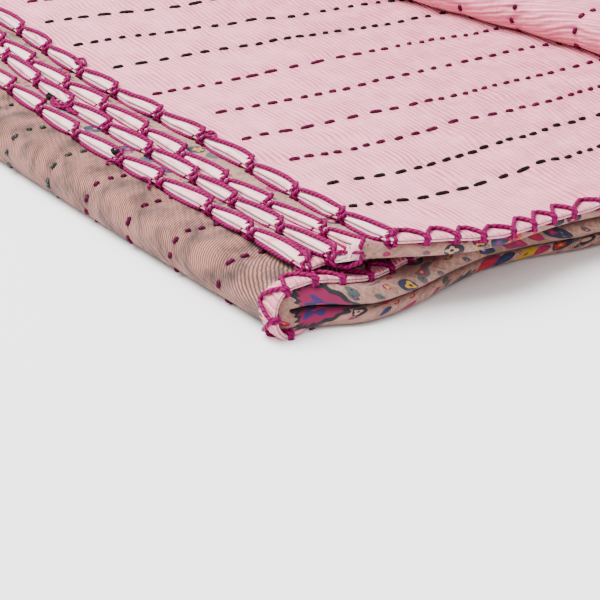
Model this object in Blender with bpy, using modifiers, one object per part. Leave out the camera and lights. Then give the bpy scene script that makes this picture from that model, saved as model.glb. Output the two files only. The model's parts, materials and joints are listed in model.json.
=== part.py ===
"""Folded hand-stitched quilt: one quilted cotton sheet, folded four deep across and five long.

The cloth is one surface. Its section across the stitch rows is a back-and-forth fold of four
layers. That section follows a path of five arms that lie on each other: bottom, middle, top and
a flap that turns back over the top. Units are metres, +Z is up, the stitch rows run along X, the
left nose is at -X and the sewn front edges are at -Y. The underside lies on Z = 0.
"""
import math
from typing import NamedTuple

import bmesh
import bpy

# Driving dimensions
CLOTH = 0.0010
LAYER_GAP = 0.00034
FOLDED_WIDTH = 0.420
FOLDED_DEPTH = 0.320
ROW_SPACING = 0.021
FACE_PUFF = 0.00030
BACK_PUFF = 0.00020

LAYER_PITCH = CLOTH + LAYER_GAP
HALF_STACK = 1.5 * LAYER_PITCH + CLOTH / 2
FACE_TO_FACE = 2 * HALF_STACK + LAYER_GAP + 2 * FACE_PUFF
BACK_TO_BACK = 2 * HALF_STACK + LAYER_GAP + 2 * BACK_PUFF

# Heights of the middle of each four-layer arm
Z_BOTTOM = HALF_STACK
Z_MIDDLE = Z_BOTTOM + FACE_TO_FACE
Z_TOP = Z_MIDDLE + BACK_TO_BACK
Z_FLAP_LOW = Z_TOP + FACE_TO_FACE
Z_FLAP_HIGH = Z_FLAP_LOW + BACK_TO_BACK

# Plan: the left nose tip is at X_LEFT, the front noses reach Y_FRONT
X_LEFT = -FOLDED_WIDTH / 2
X_RIGHT = FOLDED_WIDTH / 2
Y_FRONT = -FOLDED_DEPTH / 2
LEFT_NOSE_RADIUS = (Z_MIDDLE - Z_BOTTOM) / 2
OUTER_NOSE_RADIUS = (Z_FLAP_HIGH - Z_MIDDLE) / 2
X_LEFT_TURN = X_LEFT + LEFT_NOSE_RADIUS + HALF_STACK + BACK_PUFF
X_RIGHT_TURN = X_RIGHT - OUTER_NOSE_RADIUS - HALF_STACK - FACE_PUFF
BOTTOM_END_REACH = 0.004

# The flap's fold line runs askew over the top, these far in from the left nose
FLAP_FRONT_X = 0.183
FLAP_BACK_X = 0.112

# Where the path has stations between its folds, measured from the left nose or the sewn end
EDGE_STRIP = 0.014
TOP_SETTLED_X = 0.060
MIDDLE_SETTLED_X = 0.110
MIDDLE_NOSE_X = 0.040
BOTTOM_NOSE_X = 0.024
BOTTOM_SETTLED_X = 0.050

# The sewn left ends reach their far places this far behind the front
FAR_EDGE_DEPTH = 0.200

# The raised crease across the top: its height is this mean share of CREASE_HEIGHT, and varies
CREASE_X = 0.098
CREASE_HEIGHT = 0.0011
CREASE_HALF_WIDTH = 0.010
CREASE_MEAN = 0.6
CREASE_VARIATION = 0.4
CREASE_WAVE_LENGTH = 0.220

# The lifted front left corner, its lowest layer's droop and the spread of its sewn left ends
CORNER_LIFT = 0.0036
EDGE_LIFT_SHARE = 0.25
CORNER_REACH_X = 0.085
CORNER_REACH_Y = 0.070
CORNER_DROOP = 0.0018
DROOP_REACH = 0.022
EDGE_SPREAD = 1.12

# The cloth stands off this far behind a fold's nose
NOSE_FLARE_LENGTH = 0.0055

# Easy waves of the folds and sewn edges, as laid cloth has
WAVE_REACH = 0.045
FRONT_WAVE = 0.0007
SIDE_WAVE = 0.0006
HEIGHT_WAVE = 0.025
RIGHT_WAVE_SHARE = -0.4
EDGE_WAVE_LENGTH = 0.119
SIDE_WAVE_LENGTH = 0.250
FRONT_WAVE_LENGTH = 0.195
HEIGHT_WAVE_LENGTH = 0.364
ARM_WAVE_STEP = 0.028

# The folds' unevenness runs straight between these depths, so neighbouring layers keep their gap
EASE_DEPTHS = (0.0, 0.032, 0.064, 0.125, 0.220, FOLDED_DEPTH)

# Points across one layer: the first row of stitches lies this far behind the sewn edge
FIRST_ROW = 0.027
HEM_POINT = 0.004
HEM_SWELL = 0.2
ROW_COUNT = 14
BACK_SWOLLEN_TO = 0.200
BACK_NOSE_RADIUS = LAYER_PITCH / 2
BACK_NOSE_STEPS = 4
FRONT_NOSE_STEPS = 4

# Stations round each half turn of the path
INNER_TURN_STEPS = 4
FLAP_TURN_STEPS = 5
OUTER_TURN_STEPS = 5
LEFT_TURN_STEPS = 6

# Finish
FACE_PINK = (0.81, 0.62, 0.66, 1.0)
COTTON_ROUGHNESS = 0.9
SHARP_ANGLE_DEG = 50


class Layer(NamedTuple):
    """Where one of the four layers ends at the left, how its end waves and how high it lies."""

    edge_x: float
    far_edge_x: float
    wave: float
    phase: float
    level: float


# The sewn left ends of the top arm step outwards from the top layer to the bottom one
LAYERS = (
    Layer(edge_x=0.0300, far_edge_x=0.0395, wave=0.0011, phase=0.3, level=1.5),
    Layer(edge_x=0.0215, far_edge_x=0.0285, wave=0.0010, phase=1.9, level=0.5),
    Layer(edge_x=0.0172, far_edge_x=0.0225, wave=0.0010, phase=3.6, level=-0.5),
    Layer(edge_x=0.0115, far_edge_x=0.0165, wave=0.0009, phase=5.0, level=-1.5),
)


class Front(NamedTuple):
    """How the front looks at one stretch of the path: set-backs from Y_FRONT and the nose size."""

    first_edge: float
    nose: float
    last_edge: float
    nose_radius: float
    face_puff: float
    back_puff: float


TOP_LEFT = Front(0.0012, 0.0016, 0.0026, 0.00120, 1.0, 0.5)
TOP = Front(0.0009, 0.0004, 0.0022, 0.00110, 1.0, 0.5)
RIGHT = Front(0.0010, 0.0006, 0.0030, 0.00080, 0.6, 0.3)
FLAP = Front(0.0012, 0.0008, 0.0030, 0.00090, 1.0, 0.5)
MIDDLE = Front(0.0085, 0.0012, 0.0085, 0.00170, 0.5, 0.7)
LEFT_NOSE = Front(0.0098, 0.0024, 0.0003, 0.00165, 0.0, 1.0)
NOSE_ABOVE = Front(0.0098, 0.0020, 0.0020, 0.00170, 0.0, 1.0)
NOSE_BELOW = Front(0.0098, 0.0020, 0.0014, 0.00066, 0.0, 0.0)
BOTTOM_LEFT = Front(0.0085, 0.0012, 0.0080, 0.00090, 0.3, 0.0)
BOTTOM = Front(0.0085, 0.0008, 0.0085, 0.00165, 0.5, 0.0)


class Station(NamedTuple):
    """One cross-section of the path: place, heading and the front it has there."""

    x: float
    z: float
    heading: float
    front: Front
    from_edge: bool = False


class Point(NamedTuple):
    """One point of the four-layer section, before its station gives it a size."""

    layer: float
    along: float
    swell: float
    turn: str = ""
    angle: float = 0.0


def smooth(value: float) -> float:
    """Ease a value from 0 to 1, flat at both ends and clamped."""
    value = min(max(value, 0.0), 1.0)
    return value * value * (3 - 2 * value)


def mix(a: float, b: float, share: float) -> float:
    """Return the value that lies the given share of the way from a to b."""
    return a + (b - a) * share


def wave(place_along: float, length: float, phase: float) -> float:
    """Return a sine wave's height at a place, for its length and phase."""
    return math.sin(2 * math.pi * place_along / length + phase)


def mix_fronts(a: Front, b: Front, share: float) -> Front:
    """Blend two fronts value by value."""
    return Front(*(mix(p, q, share) for p, q in zip(a, b)))


def layer_points(layer: int, backwards: bool) -> list[Point]:
    """List one flat layer's points from its front to its back, with rows low and swells high."""
    rows = [FIRST_ROW + ROW_SPACING * k for k in range(ROW_COUNT)]
    if layer in (0, 3):
        points = [Point(layer, 0.0, 0.0), Point(layer, HEM_POINT, HEM_SWELL)]
        points.append(Point(layer, FIRST_ROW / 2, 1.0))
        swollen_to = FOLDED_DEPTH - ROW_SPACING if layer == 0 else BACK_SWOLLEN_TO
        for row in rows:
            points.append(Point(layer, row, 0.0))
            if row < swollen_to:
                points.append(Point(layer, row + ROW_SPACING / 2, 1.0))
    else:
        places = (0.0, NOSE_FLARE_LENGTH / 2, NOSE_FLARE_LENGTH) + EASE_DEPTHS[1:-1]
        points = [Point(layer, place, 0.0) for place in places]
    return points[::-1] if backwards else points


def nose_points(name: str, level: float, steps: int) -> list[Point]:
    """List the points inside one fold, without the two where it meets its layers."""
    return [Point(level, 0.0, 0.0, name, math.pi * step / steps) for step in range(1, steps)]


def section_points() -> list[Point]:
    """Walk the four layers from the top sewn edge to the bottom one."""
    back_end = Point(0, FOLDED_DEPTH, 0.0)
    points = layer_points(0, False)
    points.append(back_end)
    points += nose_points("back", 0.5, BACK_NOSE_STEPS)
    points.append(back_end._replace(layer=1))
    points += layer_points(1, True)
    points += nose_points("front", 1.5, FRONT_NOSE_STEPS)
    points += layer_points(2, False)
    points.append(back_end._replace(layer=2))
    points += nose_points("back", 2.5, BACK_NOSE_STEPS)
    points.append(back_end._replace(layer=3))
    points += layer_points(3, True)
    return points


def turn(x: float, z_from: float, z_to: float, start: float, sweep: float,
         steps: int, fronts: tuple[Front, Front, Front]) -> list[Station]:
    """Lay stations round a half turn, without its first and last point."""
    radius = abs(z_to - z_from) / 2
    middle = (z_from + z_to) / 2
    stations = []
    for step in range(1, steps):
        share = step / steps
        heading = start + sweep * share
        side = math.copysign(1.0, sweep)
        before, centre, after = fronts
        front = mix_fronts(before, centre, min(share * 2, 1.0))
        front = mix_fronts(front, after, max(share * 2 - 1.0, 0.0))
        x_here = x + radius * math.sin(heading) * side
        z_here = middle - radius * math.cos(heading) * side
        stations.append(Station(x_here, z_here, heading, front))
    return stations


def path_stations() -> list[Station]:
    """Lay the whole path, from the sewn left end on the top to the sewn right end underneath."""
    flap_x = X_LEFT + (FLAP_FRONT_X + FLAP_BACK_X) / 2
    half = math.pi
    stations = [
        Station(0.0, Z_TOP, 0.0, TOP_LEFT, from_edge=True),
        Station(EDGE_STRIP, Z_TOP, 0.0, TOP_LEFT, from_edge=True),
        Station(X_LEFT + TOP_SETTLED_X, Z_TOP, 0.0, TOP),
        Station(X_LEFT + CREASE_X - CREASE_HALF_WIDTH, Z_TOP, 0.0, TOP),
        Station(X_LEFT + CREASE_X, Z_TOP, 0.0, TOP),
        Station(X_LEFT + CREASE_X + CREASE_HALF_WIDTH, Z_TOP, 0.0, TOP),
        Station(X_RIGHT_TURN, Z_TOP, 0.0, RIGHT),
    ]
    stations += turn(X_RIGHT_TURN, Z_TOP, Z_FLAP_LOW, 0.0, half, INNER_TURN_STEPS,
                     (RIGHT, RIGHT, RIGHT))
    stations += [
        Station(X_RIGHT_TURN, Z_FLAP_LOW, half, RIGHT),
        Station(flap_x, Z_FLAP_LOW, half, FLAP),
    ]
    stations += turn(flap_x, Z_FLAP_LOW, Z_FLAP_HIGH, half, -half, FLAP_TURN_STEPS,
                     (FLAP, FLAP, FLAP))
    stations += [
        Station(flap_x, Z_FLAP_HIGH, 0.0, FLAP),
        Station(X_RIGHT_TURN, Z_FLAP_HIGH, 0.0, RIGHT),
    ]
    stations += turn(X_RIGHT_TURN, Z_FLAP_HIGH, Z_MIDDLE, 0.0, -half, OUTER_TURN_STEPS,
                     (RIGHT, RIGHT, MIDDLE))
    stations += [
        Station(X_RIGHT_TURN, Z_MIDDLE, -half, MIDDLE),
        Station(X_LEFT + MIDDLE_SETTLED_X, Z_MIDDLE, -half, MIDDLE),
        Station(X_LEFT + MIDDLE_NOSE_X, Z_MIDDLE, -half, MIDDLE),
        Station(X_LEFT_TURN, Z_MIDDLE, -half, NOSE_ABOVE),
    ]
    nose_fronts = (NOSE_ABOVE, LEFT_NOSE, NOSE_BELOW)
    stations += turn(X_LEFT_TURN, Z_MIDDLE, Z_BOTTOM, -half, half, LEFT_TURN_STEPS, nose_fronts)
    stations += [
        Station(X_LEFT_TURN, Z_BOTTOM, 0.0, NOSE_BELOW),
        Station(X_LEFT + BOTTOM_NOSE_X, Z_BOTTOM, 0.0, BOTTOM_LEFT),
        Station(X_LEFT + BOTTOM_SETTLED_X, Z_BOTTOM, 0.0, BOTTOM),
        Station(X_RIGHT_TURN + BOTTOM_END_REACH, Z_BOTTOM, 0.0, BOTTOM),
    ]
    return stations


def inner_offset(depth: float, front: Front) -> float:
    """Return how far the two inner layers lie from the arm's middle, wide at the nose."""
    flare = 1 - smooth((depth - front.nose - front.nose_radius) / NOSE_FLARE_LENGTH)
    return mix(0.5 * LAYER_PITCH, front.nose_radius, flare)


def section_at(point: Point, front: Front) -> tuple[float, float]:
    """Size one section point for its station: distance along Y and offset from the arm's middle."""
    if point.turn == "back":
        centre = (1.5 - point.layer) * LAYER_PITCH
        side = BACK_NOSE_RADIUS * math.cos(point.angle)
        return FOLDED_DEPTH - BACK_NOSE_RADIUS * (1 - math.sin(point.angle)), centre + side
    if point.turn == "front":
        reach = front.nose + front.nose_radius * (1 - math.sin(point.angle))
        return reach, front.nose_radius * math.cos(point.angle)
    level = LAYERS[int(point.layer)].level
    if point.along == FOLDED_DEPTH:
        return FOLDED_DEPTH - BACK_NOSE_RADIUS, level * LAYER_PITCH
    if abs(level) < 1:
        depth = front.nose + front.nose_radius + point.along
        return depth, math.copysign(inner_offset(depth, front), level)
    top_layer = level > 0
    set_back = front.first_edge if top_layer else front.last_edge
    puff = FACE_PUFF * front.face_puff if top_layer else BACK_PUFF * front.back_puff
    depth = point.along + set_back * (1 - smooth(point.along / FIRST_ROW))
    over_nose = inner_offset(depth, front) + LAYER_PITCH
    return depth, math.copysign(max(1.5 * LAYER_PITCH, over_nose) + puff * point.swell, level)


def left_end(layer_level: float, depth: float) -> float:
    """Return where the sewn left end of the top arm lies, for a place between two layers."""
    index = min(max(layer_level, 0.0), 3.0)
    low = int(index)
    high = min(low + 1, 3)
    ends = []
    for layer in (LAYERS[low], LAYERS[high]):
        straight = mix(layer.edge_x, layer.far_edge_x, smooth(depth / FAR_EDGE_DEPTH))
        ends.append(straight + layer.wave * wave(depth, EDGE_WAVE_LENGTH, layer.phase))
    return X_LEFT + mix(ends[0], ends[1], index - low)


def flap_shift(x: float, y: float) -> float:
    """Return how far the flap's fold line is drawn along X at a depth, fading to the right turn."""
    middle = (FLAP_FRONT_X + FLAP_BACK_X) / 2
    wanted = mix(FLAP_FRONT_X, FLAP_BACK_X, (y - Y_FRONT) / FOLDED_DEPTH) - middle
    return wanted * smooth((X_RIGHT_TURN - x) / (X_RIGHT_TURN - X_LEFT - middle))


def unevenness(x: float, y: float, z: float, arm: float) -> tuple[float, float, float]:
    """Return how far a place moves for the easy waves, the lifted corner and the top's crease."""
    from_left = (x - X_LEFT) / FOLDED_WIDTH
    depth = y - Y_FRONT
    front_fade = smooth(1 - depth / WAVE_REACH)
    side_fade = smooth(1 - (x - X_LEFT) / WAVE_REACH)
    arm_phase = 2 * math.pi * arm / ARM_WAVE_STEP
    shift_x = SIDE_WAVE * (1 + wave(y, SIDE_WAVE_LENGTH, arm_phase)) * side_fade
    shift_y = FRONT_WAVE * (1 + wave(x, FRONT_WAVE_LENGTH, arm_phase)) * front_fade
    swing = HEIGHT_WAVE * wave(y, HEIGHT_WAVE_LENGTH, 0.0) * mix(1.0, RIGHT_WAVE_SHARE, from_left)
    rise = (z - CLOTH / 2) * swing
    if arm > (Z_MIDDLE + Z_TOP) / 2:
        along_x = smooth(1 - (x - X_LEFT) / CORNER_REACH_X)
        along_y = smooth(1 - depth / CORNER_REACH_Y)
        rise += CORNER_LIFT * mix(EDGE_LIFT_SHARE, 1.0, along_y) * along_x
    if arm == Z_TOP:
        from_crease = abs(x - X_LEFT - CREASE_X) / CREASE_HALF_WIDTH
        evenness = CREASE_MEAN + CREASE_VARIATION * wave(y, CREASE_WAVE_LENGTH, 0.0)
        crease = CREASE_HEIGHT * smooth(1 - from_crease) * evenness
        rise += crease * smooth((z - Z_TOP) / HALF_STACK)
    return shift_x, shift_y, rise


def place(point: Point, station: Station) -> tuple[float, float, float]:
    """Put one section point of one station in space, with the folds' natural unevenness."""
    depth, offset = section_at(point, station.front)
    spread = 1.0
    x = station.x
    if station.from_edge:
        spread = EDGE_SPREAD
        x += left_end(point.layer, depth)
    x -= math.sin(station.heading) * offset
    y = Y_FRONT + depth
    z = station.z + math.cos(station.heading) * offset * spread + HALF_STACK * (spread - 1.0)
    if station.z > (Z_TOP + Z_FLAP_LOW) / 2:
        x += flap_shift(x, y)
    after = next(k for k in EASE_DEPTHS[1:] if depth <= k)
    before = EASE_DEPTHS[EASE_DEPTHS.index(after) - 1]
    near = unevenness(x, Y_FRONT + before, z, station.z)
    far = unevenness(x, Y_FRONT + after, z, station.z)
    share = (depth - before) / (after - before)
    shift_x, shift_y, rise = (mix(a, b, share) for a, b in zip(near, far))
    if point.layer == 3 and station.from_edge:
        near_corner = smooth(1 - (x - X_LEFT) / (2 * DROOP_REACH)) * smooth(1 - depth / DROOP_REACH)
        rise -= CORNER_DROOP * near_corner
    return x + shift_x, y + shift_y, max(z + rise, CLOTH / 2)


def centre_plan(grid: bmesh.types.BMesh) -> None:
    """Slide the folded cloth level until its plan is centred on the origin."""
    for axis in (0, 1):
        places = [vertex.co[axis] for vertex in grid.verts]
        middle = (min(places) + max(places)) / 2
        for vertex in grid.verts:
            vertex.co[axis] -= middle


def quilt_surface(points: list[Point], stations: list[Station]) -> bpy.types.Mesh:
    """Shape a flat grid into the folded middle surface of the cloth."""
    mesh = bpy.data.meshes.new("quilt")
    grid = bmesh.new()
    rows = len(stations)
    columns = len(points)
    bmesh.ops.create_grid(grid, x_segments=columns - 1, y_segments=rows - 1, size=0.5)
    for vertex in grid.verts:
        column = round((vertex.co.x + 0.5) * (columns - 1))
        row = round((vertex.co.y + 0.5) * (rows - 1))
        vertex.co = place(points[column], stations[row])
    centre_plan(grid)
    grid.to_mesh(mesh)
    grid.free()
    return mesh


def quilted_cotton() -> bpy.types.Material:
    """Return the plain pink of the quilt's face."""
    material = bpy.data.materials.new("quilted cotton")
    material.use_nodes = True
    shader = material.node_tree.nodes["Principled BSDF"]
    shader.inputs["Base Color"].default_value = FACE_PINK
    shader.inputs["Roughness"].default_value = COTTON_ROUGHNESS
    shader.inputs["Metallic"].default_value = 0.0
    return material


def make_quilt(collection: bpy.types.Collection) -> bpy.types.Object:
    """Make the folded quilt, with the cloth's thickness on both sides of its middle surface."""
    mesh = quilt_surface(section_points(), path_stations())
    quilt = bpy.data.objects.new("quilt", mesh)
    quilt.data.materials.append(quilted_cotton())
    collection.objects.link(quilt)
    thickness = quilt.modifiers.new("cloth thickness", "SOLIDIFY")
    thickness.thickness = CLOTH
    thickness.offset = 0.0
    thickness.use_even_offset = True
    mesh.shade_smooth()
    mesh.set_sharp_from_angle(angle=math.radians(SHARP_ANGLE_DEG))
    return quilt


def main() -> None:
    """Clear the scene and build the quilt in a collection of its own."""
    for old in list(bpy.data.objects):
        bpy.data.objects.remove(old, do_unlink=True)
    collection = bpy.data.collections.new("folded quilt")
    bpy.context.scene.collection.children.link(collection)
    make_quilt(collection)


main()
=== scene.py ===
"""Folded hand-stitched quilt: the finished look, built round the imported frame.

One cotton sheet is folded four deep across and five long. Its face is plain pink, its back is
taupe cotton printed with flowers, and a plain taupe panel is pieced in on the big left fold.
Running stitch crosses it in rows and thick magenta thread overcasts every edge. Units are metres.
"""
from __future__ import annotations

import json
import logging
import math
from dataclasses import dataclass
from enum import Enum
from typing import NamedTuple

import bpy
import numpy as np
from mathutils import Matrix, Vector

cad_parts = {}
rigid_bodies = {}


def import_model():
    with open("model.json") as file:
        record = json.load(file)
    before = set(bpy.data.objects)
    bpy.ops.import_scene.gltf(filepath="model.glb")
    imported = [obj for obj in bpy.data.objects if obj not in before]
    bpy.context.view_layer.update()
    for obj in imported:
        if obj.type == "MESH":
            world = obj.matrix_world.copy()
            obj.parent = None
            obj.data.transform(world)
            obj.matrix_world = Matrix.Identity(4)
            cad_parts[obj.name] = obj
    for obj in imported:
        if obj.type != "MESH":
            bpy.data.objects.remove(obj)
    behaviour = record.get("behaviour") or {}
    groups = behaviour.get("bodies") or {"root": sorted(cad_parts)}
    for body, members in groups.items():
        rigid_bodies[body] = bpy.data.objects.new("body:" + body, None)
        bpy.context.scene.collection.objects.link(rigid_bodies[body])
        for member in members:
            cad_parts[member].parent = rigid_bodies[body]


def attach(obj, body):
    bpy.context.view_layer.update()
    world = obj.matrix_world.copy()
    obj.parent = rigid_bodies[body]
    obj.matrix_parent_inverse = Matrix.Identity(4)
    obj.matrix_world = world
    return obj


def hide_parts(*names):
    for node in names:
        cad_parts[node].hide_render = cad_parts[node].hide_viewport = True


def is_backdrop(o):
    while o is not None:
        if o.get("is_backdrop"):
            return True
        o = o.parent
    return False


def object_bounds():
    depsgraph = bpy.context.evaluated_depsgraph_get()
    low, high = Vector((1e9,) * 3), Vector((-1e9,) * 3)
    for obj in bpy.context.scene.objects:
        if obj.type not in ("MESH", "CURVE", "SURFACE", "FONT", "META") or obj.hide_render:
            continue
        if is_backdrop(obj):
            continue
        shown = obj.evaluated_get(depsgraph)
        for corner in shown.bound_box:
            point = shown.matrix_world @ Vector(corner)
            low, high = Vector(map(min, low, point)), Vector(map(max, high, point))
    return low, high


LOG = logging.getLogger("quilt")
SEED = 1905
MM = 0.001
THREAD_SIDES = 6
STITCH_FLATNESS = 0.85
STITCH_BLUNTNESS = 0.5
# How many stations the plain panel reaches before and past the start of the left fold.
PANEL_BEFORE_NOSE = 12
PANEL_PAST_NOSE = 26
Socket = bpy.types.NodeSocket
Value = float | Socket


def smooth(value: float) -> float:
    """Ease a value from 0 to 1, flat at both ends and clamped."""
    value = min(max(value, 0.0), 1.0)
    return value * value * (3 - 2 * value)


def mix(a: float, b: float, share: float) -> float:
    """Return the value that lies the given share of the way from a to b."""
    return a + (b - a) * share


def wave(place_along: float, length: float, phase: float) -> float:
    """Return a sine wave's height at a place, for its length and phase."""
    return math.sin(2 * math.pi * place_along / length + phase)


def spaced(start: float, end: float, step: float) -> list[float]:
    """Space places evenly, about a step apart.

    Args:
        start: the first place, which is in the list.
        end: where the run stops; this place isn't in the list.
        step: the distance wanted between two places.

    Returns:
        The places in order.
    """
    count = max(1, round(abs(end - start) / step))
    return [mix(start, end, k / count) for k in range(count)]


class Fold(Enum):
    """Where a place across the cloth lies: in a flat layer or round one of its folds."""

    FLAT = "flat"
    BACK = "back"
    FRONT = "front"


class Stitching(Enum):
    """Which thread a row of running stitch is sewn with."""

    DARK = "dark"
    GREY = "grey"
    MAGENTA = "magenta"


DARK, GREY, MAGENTA = Stitching


class Front(NamedTuple):
    """How the front looks at one stretch of the path: set-backs from the front and nose size."""

    first_edge: float
    nose: float
    last_edge: float
    nose_radius: float
    face_puff: float
    back_puff: float


class Layer(NamedTuple):
    """Where one of the four layers ends at the left, how its end waves and how high it lies."""

    edge_x: float
    far_edge_x: float
    wave: float
    phase: float
    level: float


class Across(NamedTuple):
    """One place across the cloth: its layer, its depth behind the front, or its angle in a fold."""

    layer: float
    along: float
    fold: Fold = Fold.FLAT
    angle: float = 0.0


class Station(NamedTuple):
    """One place along the cloth: where its section stands, which way it heads and its front."""

    x: float
    z: float
    heading: float
    front: Front
    pull: float = 0.0
    from_edge: float = 0.0


def mix_fronts(a: Front, b: Front, share: float) -> Front:
    """Blend two fronts value by value."""
    return Front(*(mix(p, q, share) for p, q in zip(a, b)))


@dataclass(frozen=True)
class FoldShape:
    """The folds' sizes, the same as the solid's, and the place of any point of the cloth."""

    cloth: float = 1.0 * MM
    layer_gap: float = 0.34 * MM
    width: float = 420 * MM
    depth: float = 320 * MM
    settled: tuple[float, float] = (0.6 * MM, 0.95 * MM)
    face_puff: float = 0.30 * MM
    back_puff: float = 0.20 * MM
    swell: float = 0.42 * MM
    flap_front_x: float = 183 * MM
    flap_back_x: float = 112 * MM
    edge_strip: float = 14 * MM
    top_settled_x: float = 60 * MM
    middle_nose_x: float = 40 * MM
    bottom_nose_x: float = 24 * MM
    bottom_settled_x: float = 50 * MM
    bottom_end_reach: float = 4 * MM
    far_edge_depth: float = 300 * MM
    crease_x: float = 98 * MM
    crease_height: float = 1.1 * MM
    crease_half_width: float = 9 * MM
    corner_lift: float = 2.7 * MM
    edge_lift_share: float = 0.25
    corner_reach_x: float = 52 * MM
    corner_reach_y: float = 70 * MM
    corner_droop: float = 1.8 * MM
    droop_reach: float = 22 * MM
    edge_spread: float = 1.12
    nose_flare: float = 5.5 * MM
    wave_reach: float = 45 * MM
    front_wave: float = 0.7 * MM
    side_wave: float = 0.6 * MM
    height_wave: float = 0.025
    arm_wave_step: float = 28 * MM
    first_row: float = 27 * MM
    row_spacing: float = 21 * MM
    row_count: int = 14
    layers: tuple[Layer, ...] = (
        Layer(32.0 * MM, 42.0 * MM, 0.9 * MM, 3.4, 1.5),
        Layer(23.9 * MM, 38.5 * MM, 0.9 * MM, 1.9, 0.5),
        Layer(19.2 * MM, 36.6 * MM, 0.9 * MM, 3.6, -0.5),
        Layer(13.1 * MM, 25.0 * MM, 0.8 * MM, 5.0, -1.5),
    )
    top_rows: tuple[float, ...] = (27.5 * MM, 44.5 * MM, 62.5 * MM, 81 * MM, 101 * MM, 123.5 * MM,
                                   146.5 * MM, 168 * MM, 191 * MM)
    row_slopes: tuple[float, ...] = (0.12, 0.085, 0.05, 0.0, -0.02, -0.05, -0.10, -0.17, -0.20)
    press: float = 0.20
    press_from_x: float = 30 * MM
    press_to_x: float = 95 * MM
    press_depth: float = 110 * MM
    recede: float = 4.5 * MM
    sink: float = 2.2 * MM
    sink_from_x: float = 8 * MM
    sink_full_x: float = 30 * MM
    sink_to_x: float = 175 * MM
    sink_depth: float = 34 * MM
    low_belly: float = 4.2 * MM
    low_belly_x: float = 24 * MM
    low_belly_length: float = 90 * MM
    top_belly: float = 3.2 * MM
    top_belly_x: float = 53 * MM
    top_belly_length: float = 82 * MM
    belly_from_x: float = 9 * MM
    belly_full_x: float = 24 * MM
    belly_to_x: float = 118 * MM
    belly_depth: float = 48 * MM
    row_slope_x: float = 75 * MM
    row_slope_reach: float = 70 * MM
    row_slope_ease: float = 1.6
    row_waves: tuple[tuple[float, float, float], ...] = (
        (0.7 * MM, 93 * MM, 1.7), (0.4 * MM, 41 * MM, 2.9))
    row_hollow: float = 0.8
    side_wave_length: float = 250 * MM
    front_wave_length: float = 195 * MM
    height_wave_length: float = 364 * MM
    height_wave_right: float = -0.4
    end_wave_length: float = 119 * MM
    crease_even: tuple[float, float, float] = (0.6, 0.4, 220 * MM)

    @property
    def pitch(self) -> float:
        """Height from one layer to the next."""
        return self.cloth + self.layer_gap

    @property
    def half_stack(self) -> float:
        """Half the height of one arm of four layers."""
        return 1.5 * self.pitch + self.cloth / 2

    @property
    def face_to_face(self) -> float:
        """Height between two arms whose pink sides meet."""
        return 2 * self.half_stack + self.layer_gap + 2 * self.face_puff

    @property
    def back_to_back(self) -> float:
        """Height between two arms whose other sides meet."""
        return 2 * self.half_stack + self.layer_gap + 2 * self.back_puff

    @property
    def arms(self) -> tuple[float, float, float, float, float]:
        """Heights of the bottom, middle and top arm and of the flap's two arms."""
        bottom = self.half_stack
        middle = bottom + self.face_to_face
        top = middle + self.back_to_back
        flap_low = top + self.face_to_face
        return bottom, middle, top, flap_low, flap_low + self.back_to_back

    @property
    def left(self) -> float:
        """X of the left nose's tip."""
        return -self.width / 2

    @property
    def left_turn(self) -> float:
        """X where the left nose starts to turn."""
        bottom, middle = self.arms[:2]
        return self.left + (middle - bottom) / 2 + self.half_stack + self.back_puff

    @property
    def right_turn(self) -> float:
        """X where the right noses start to turn."""
        radius = (self.arms[4] - self.arms[1]) / 2
        return self.width / 2 - radius - self.half_stack - self.face_puff

    def row_depths(self, x: float, top_arm: bool) -> list[float]:
        """Return how far behind the front each row of running stitch lies at one X."""
        depths = []
        for k in range(self.row_count):
            depth = self.first_row + self.row_spacing * k
            if top_arm:
                shown = min(k, len(self.top_rows) - 1)
                depth = self.top_rows[shown] + self.row_spacing * (k - shown)
                slope = self.row_slopes[shown]
                reach, ease = self.row_slope_reach, self.row_slope_ease
                swing = math.sin((x - self.left - self.row_slope_x) / reach / ease)
                depth += slope * reach * ease * swing
            depth += sum(tall * wave(x, length, turn * k) for tall, length, turn in self.row_waves)
            depths.append(depth)
        return depths

    def row_number(self, x: float, depth: float, top_arm: bool) -> float:
        """Return which row a place lies on, with the places between two rows as fractions."""
        rows = self.row_depths(x, top_arm)
        if depth < rows[0]:
            return (depth - rows[0]) / self.first_row
        if depth > rows[-1]:
            return len(rows) - 1 + min(0.5, (depth - rows[-1]) / self.row_spacing)
        return float(np.interp(depth, rows, range(len(rows))))

    def inner_offset(self, depth: float, front: Front) -> float:
        """Return how far the two inner layers lie from the arm's middle, wide at the nose."""
        flare = 1 - smooth((depth - front.nose - front.nose_radius) / self.nose_flare)
        return mix(0.5 * self.pitch, front.nose_radius, flare)

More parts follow.
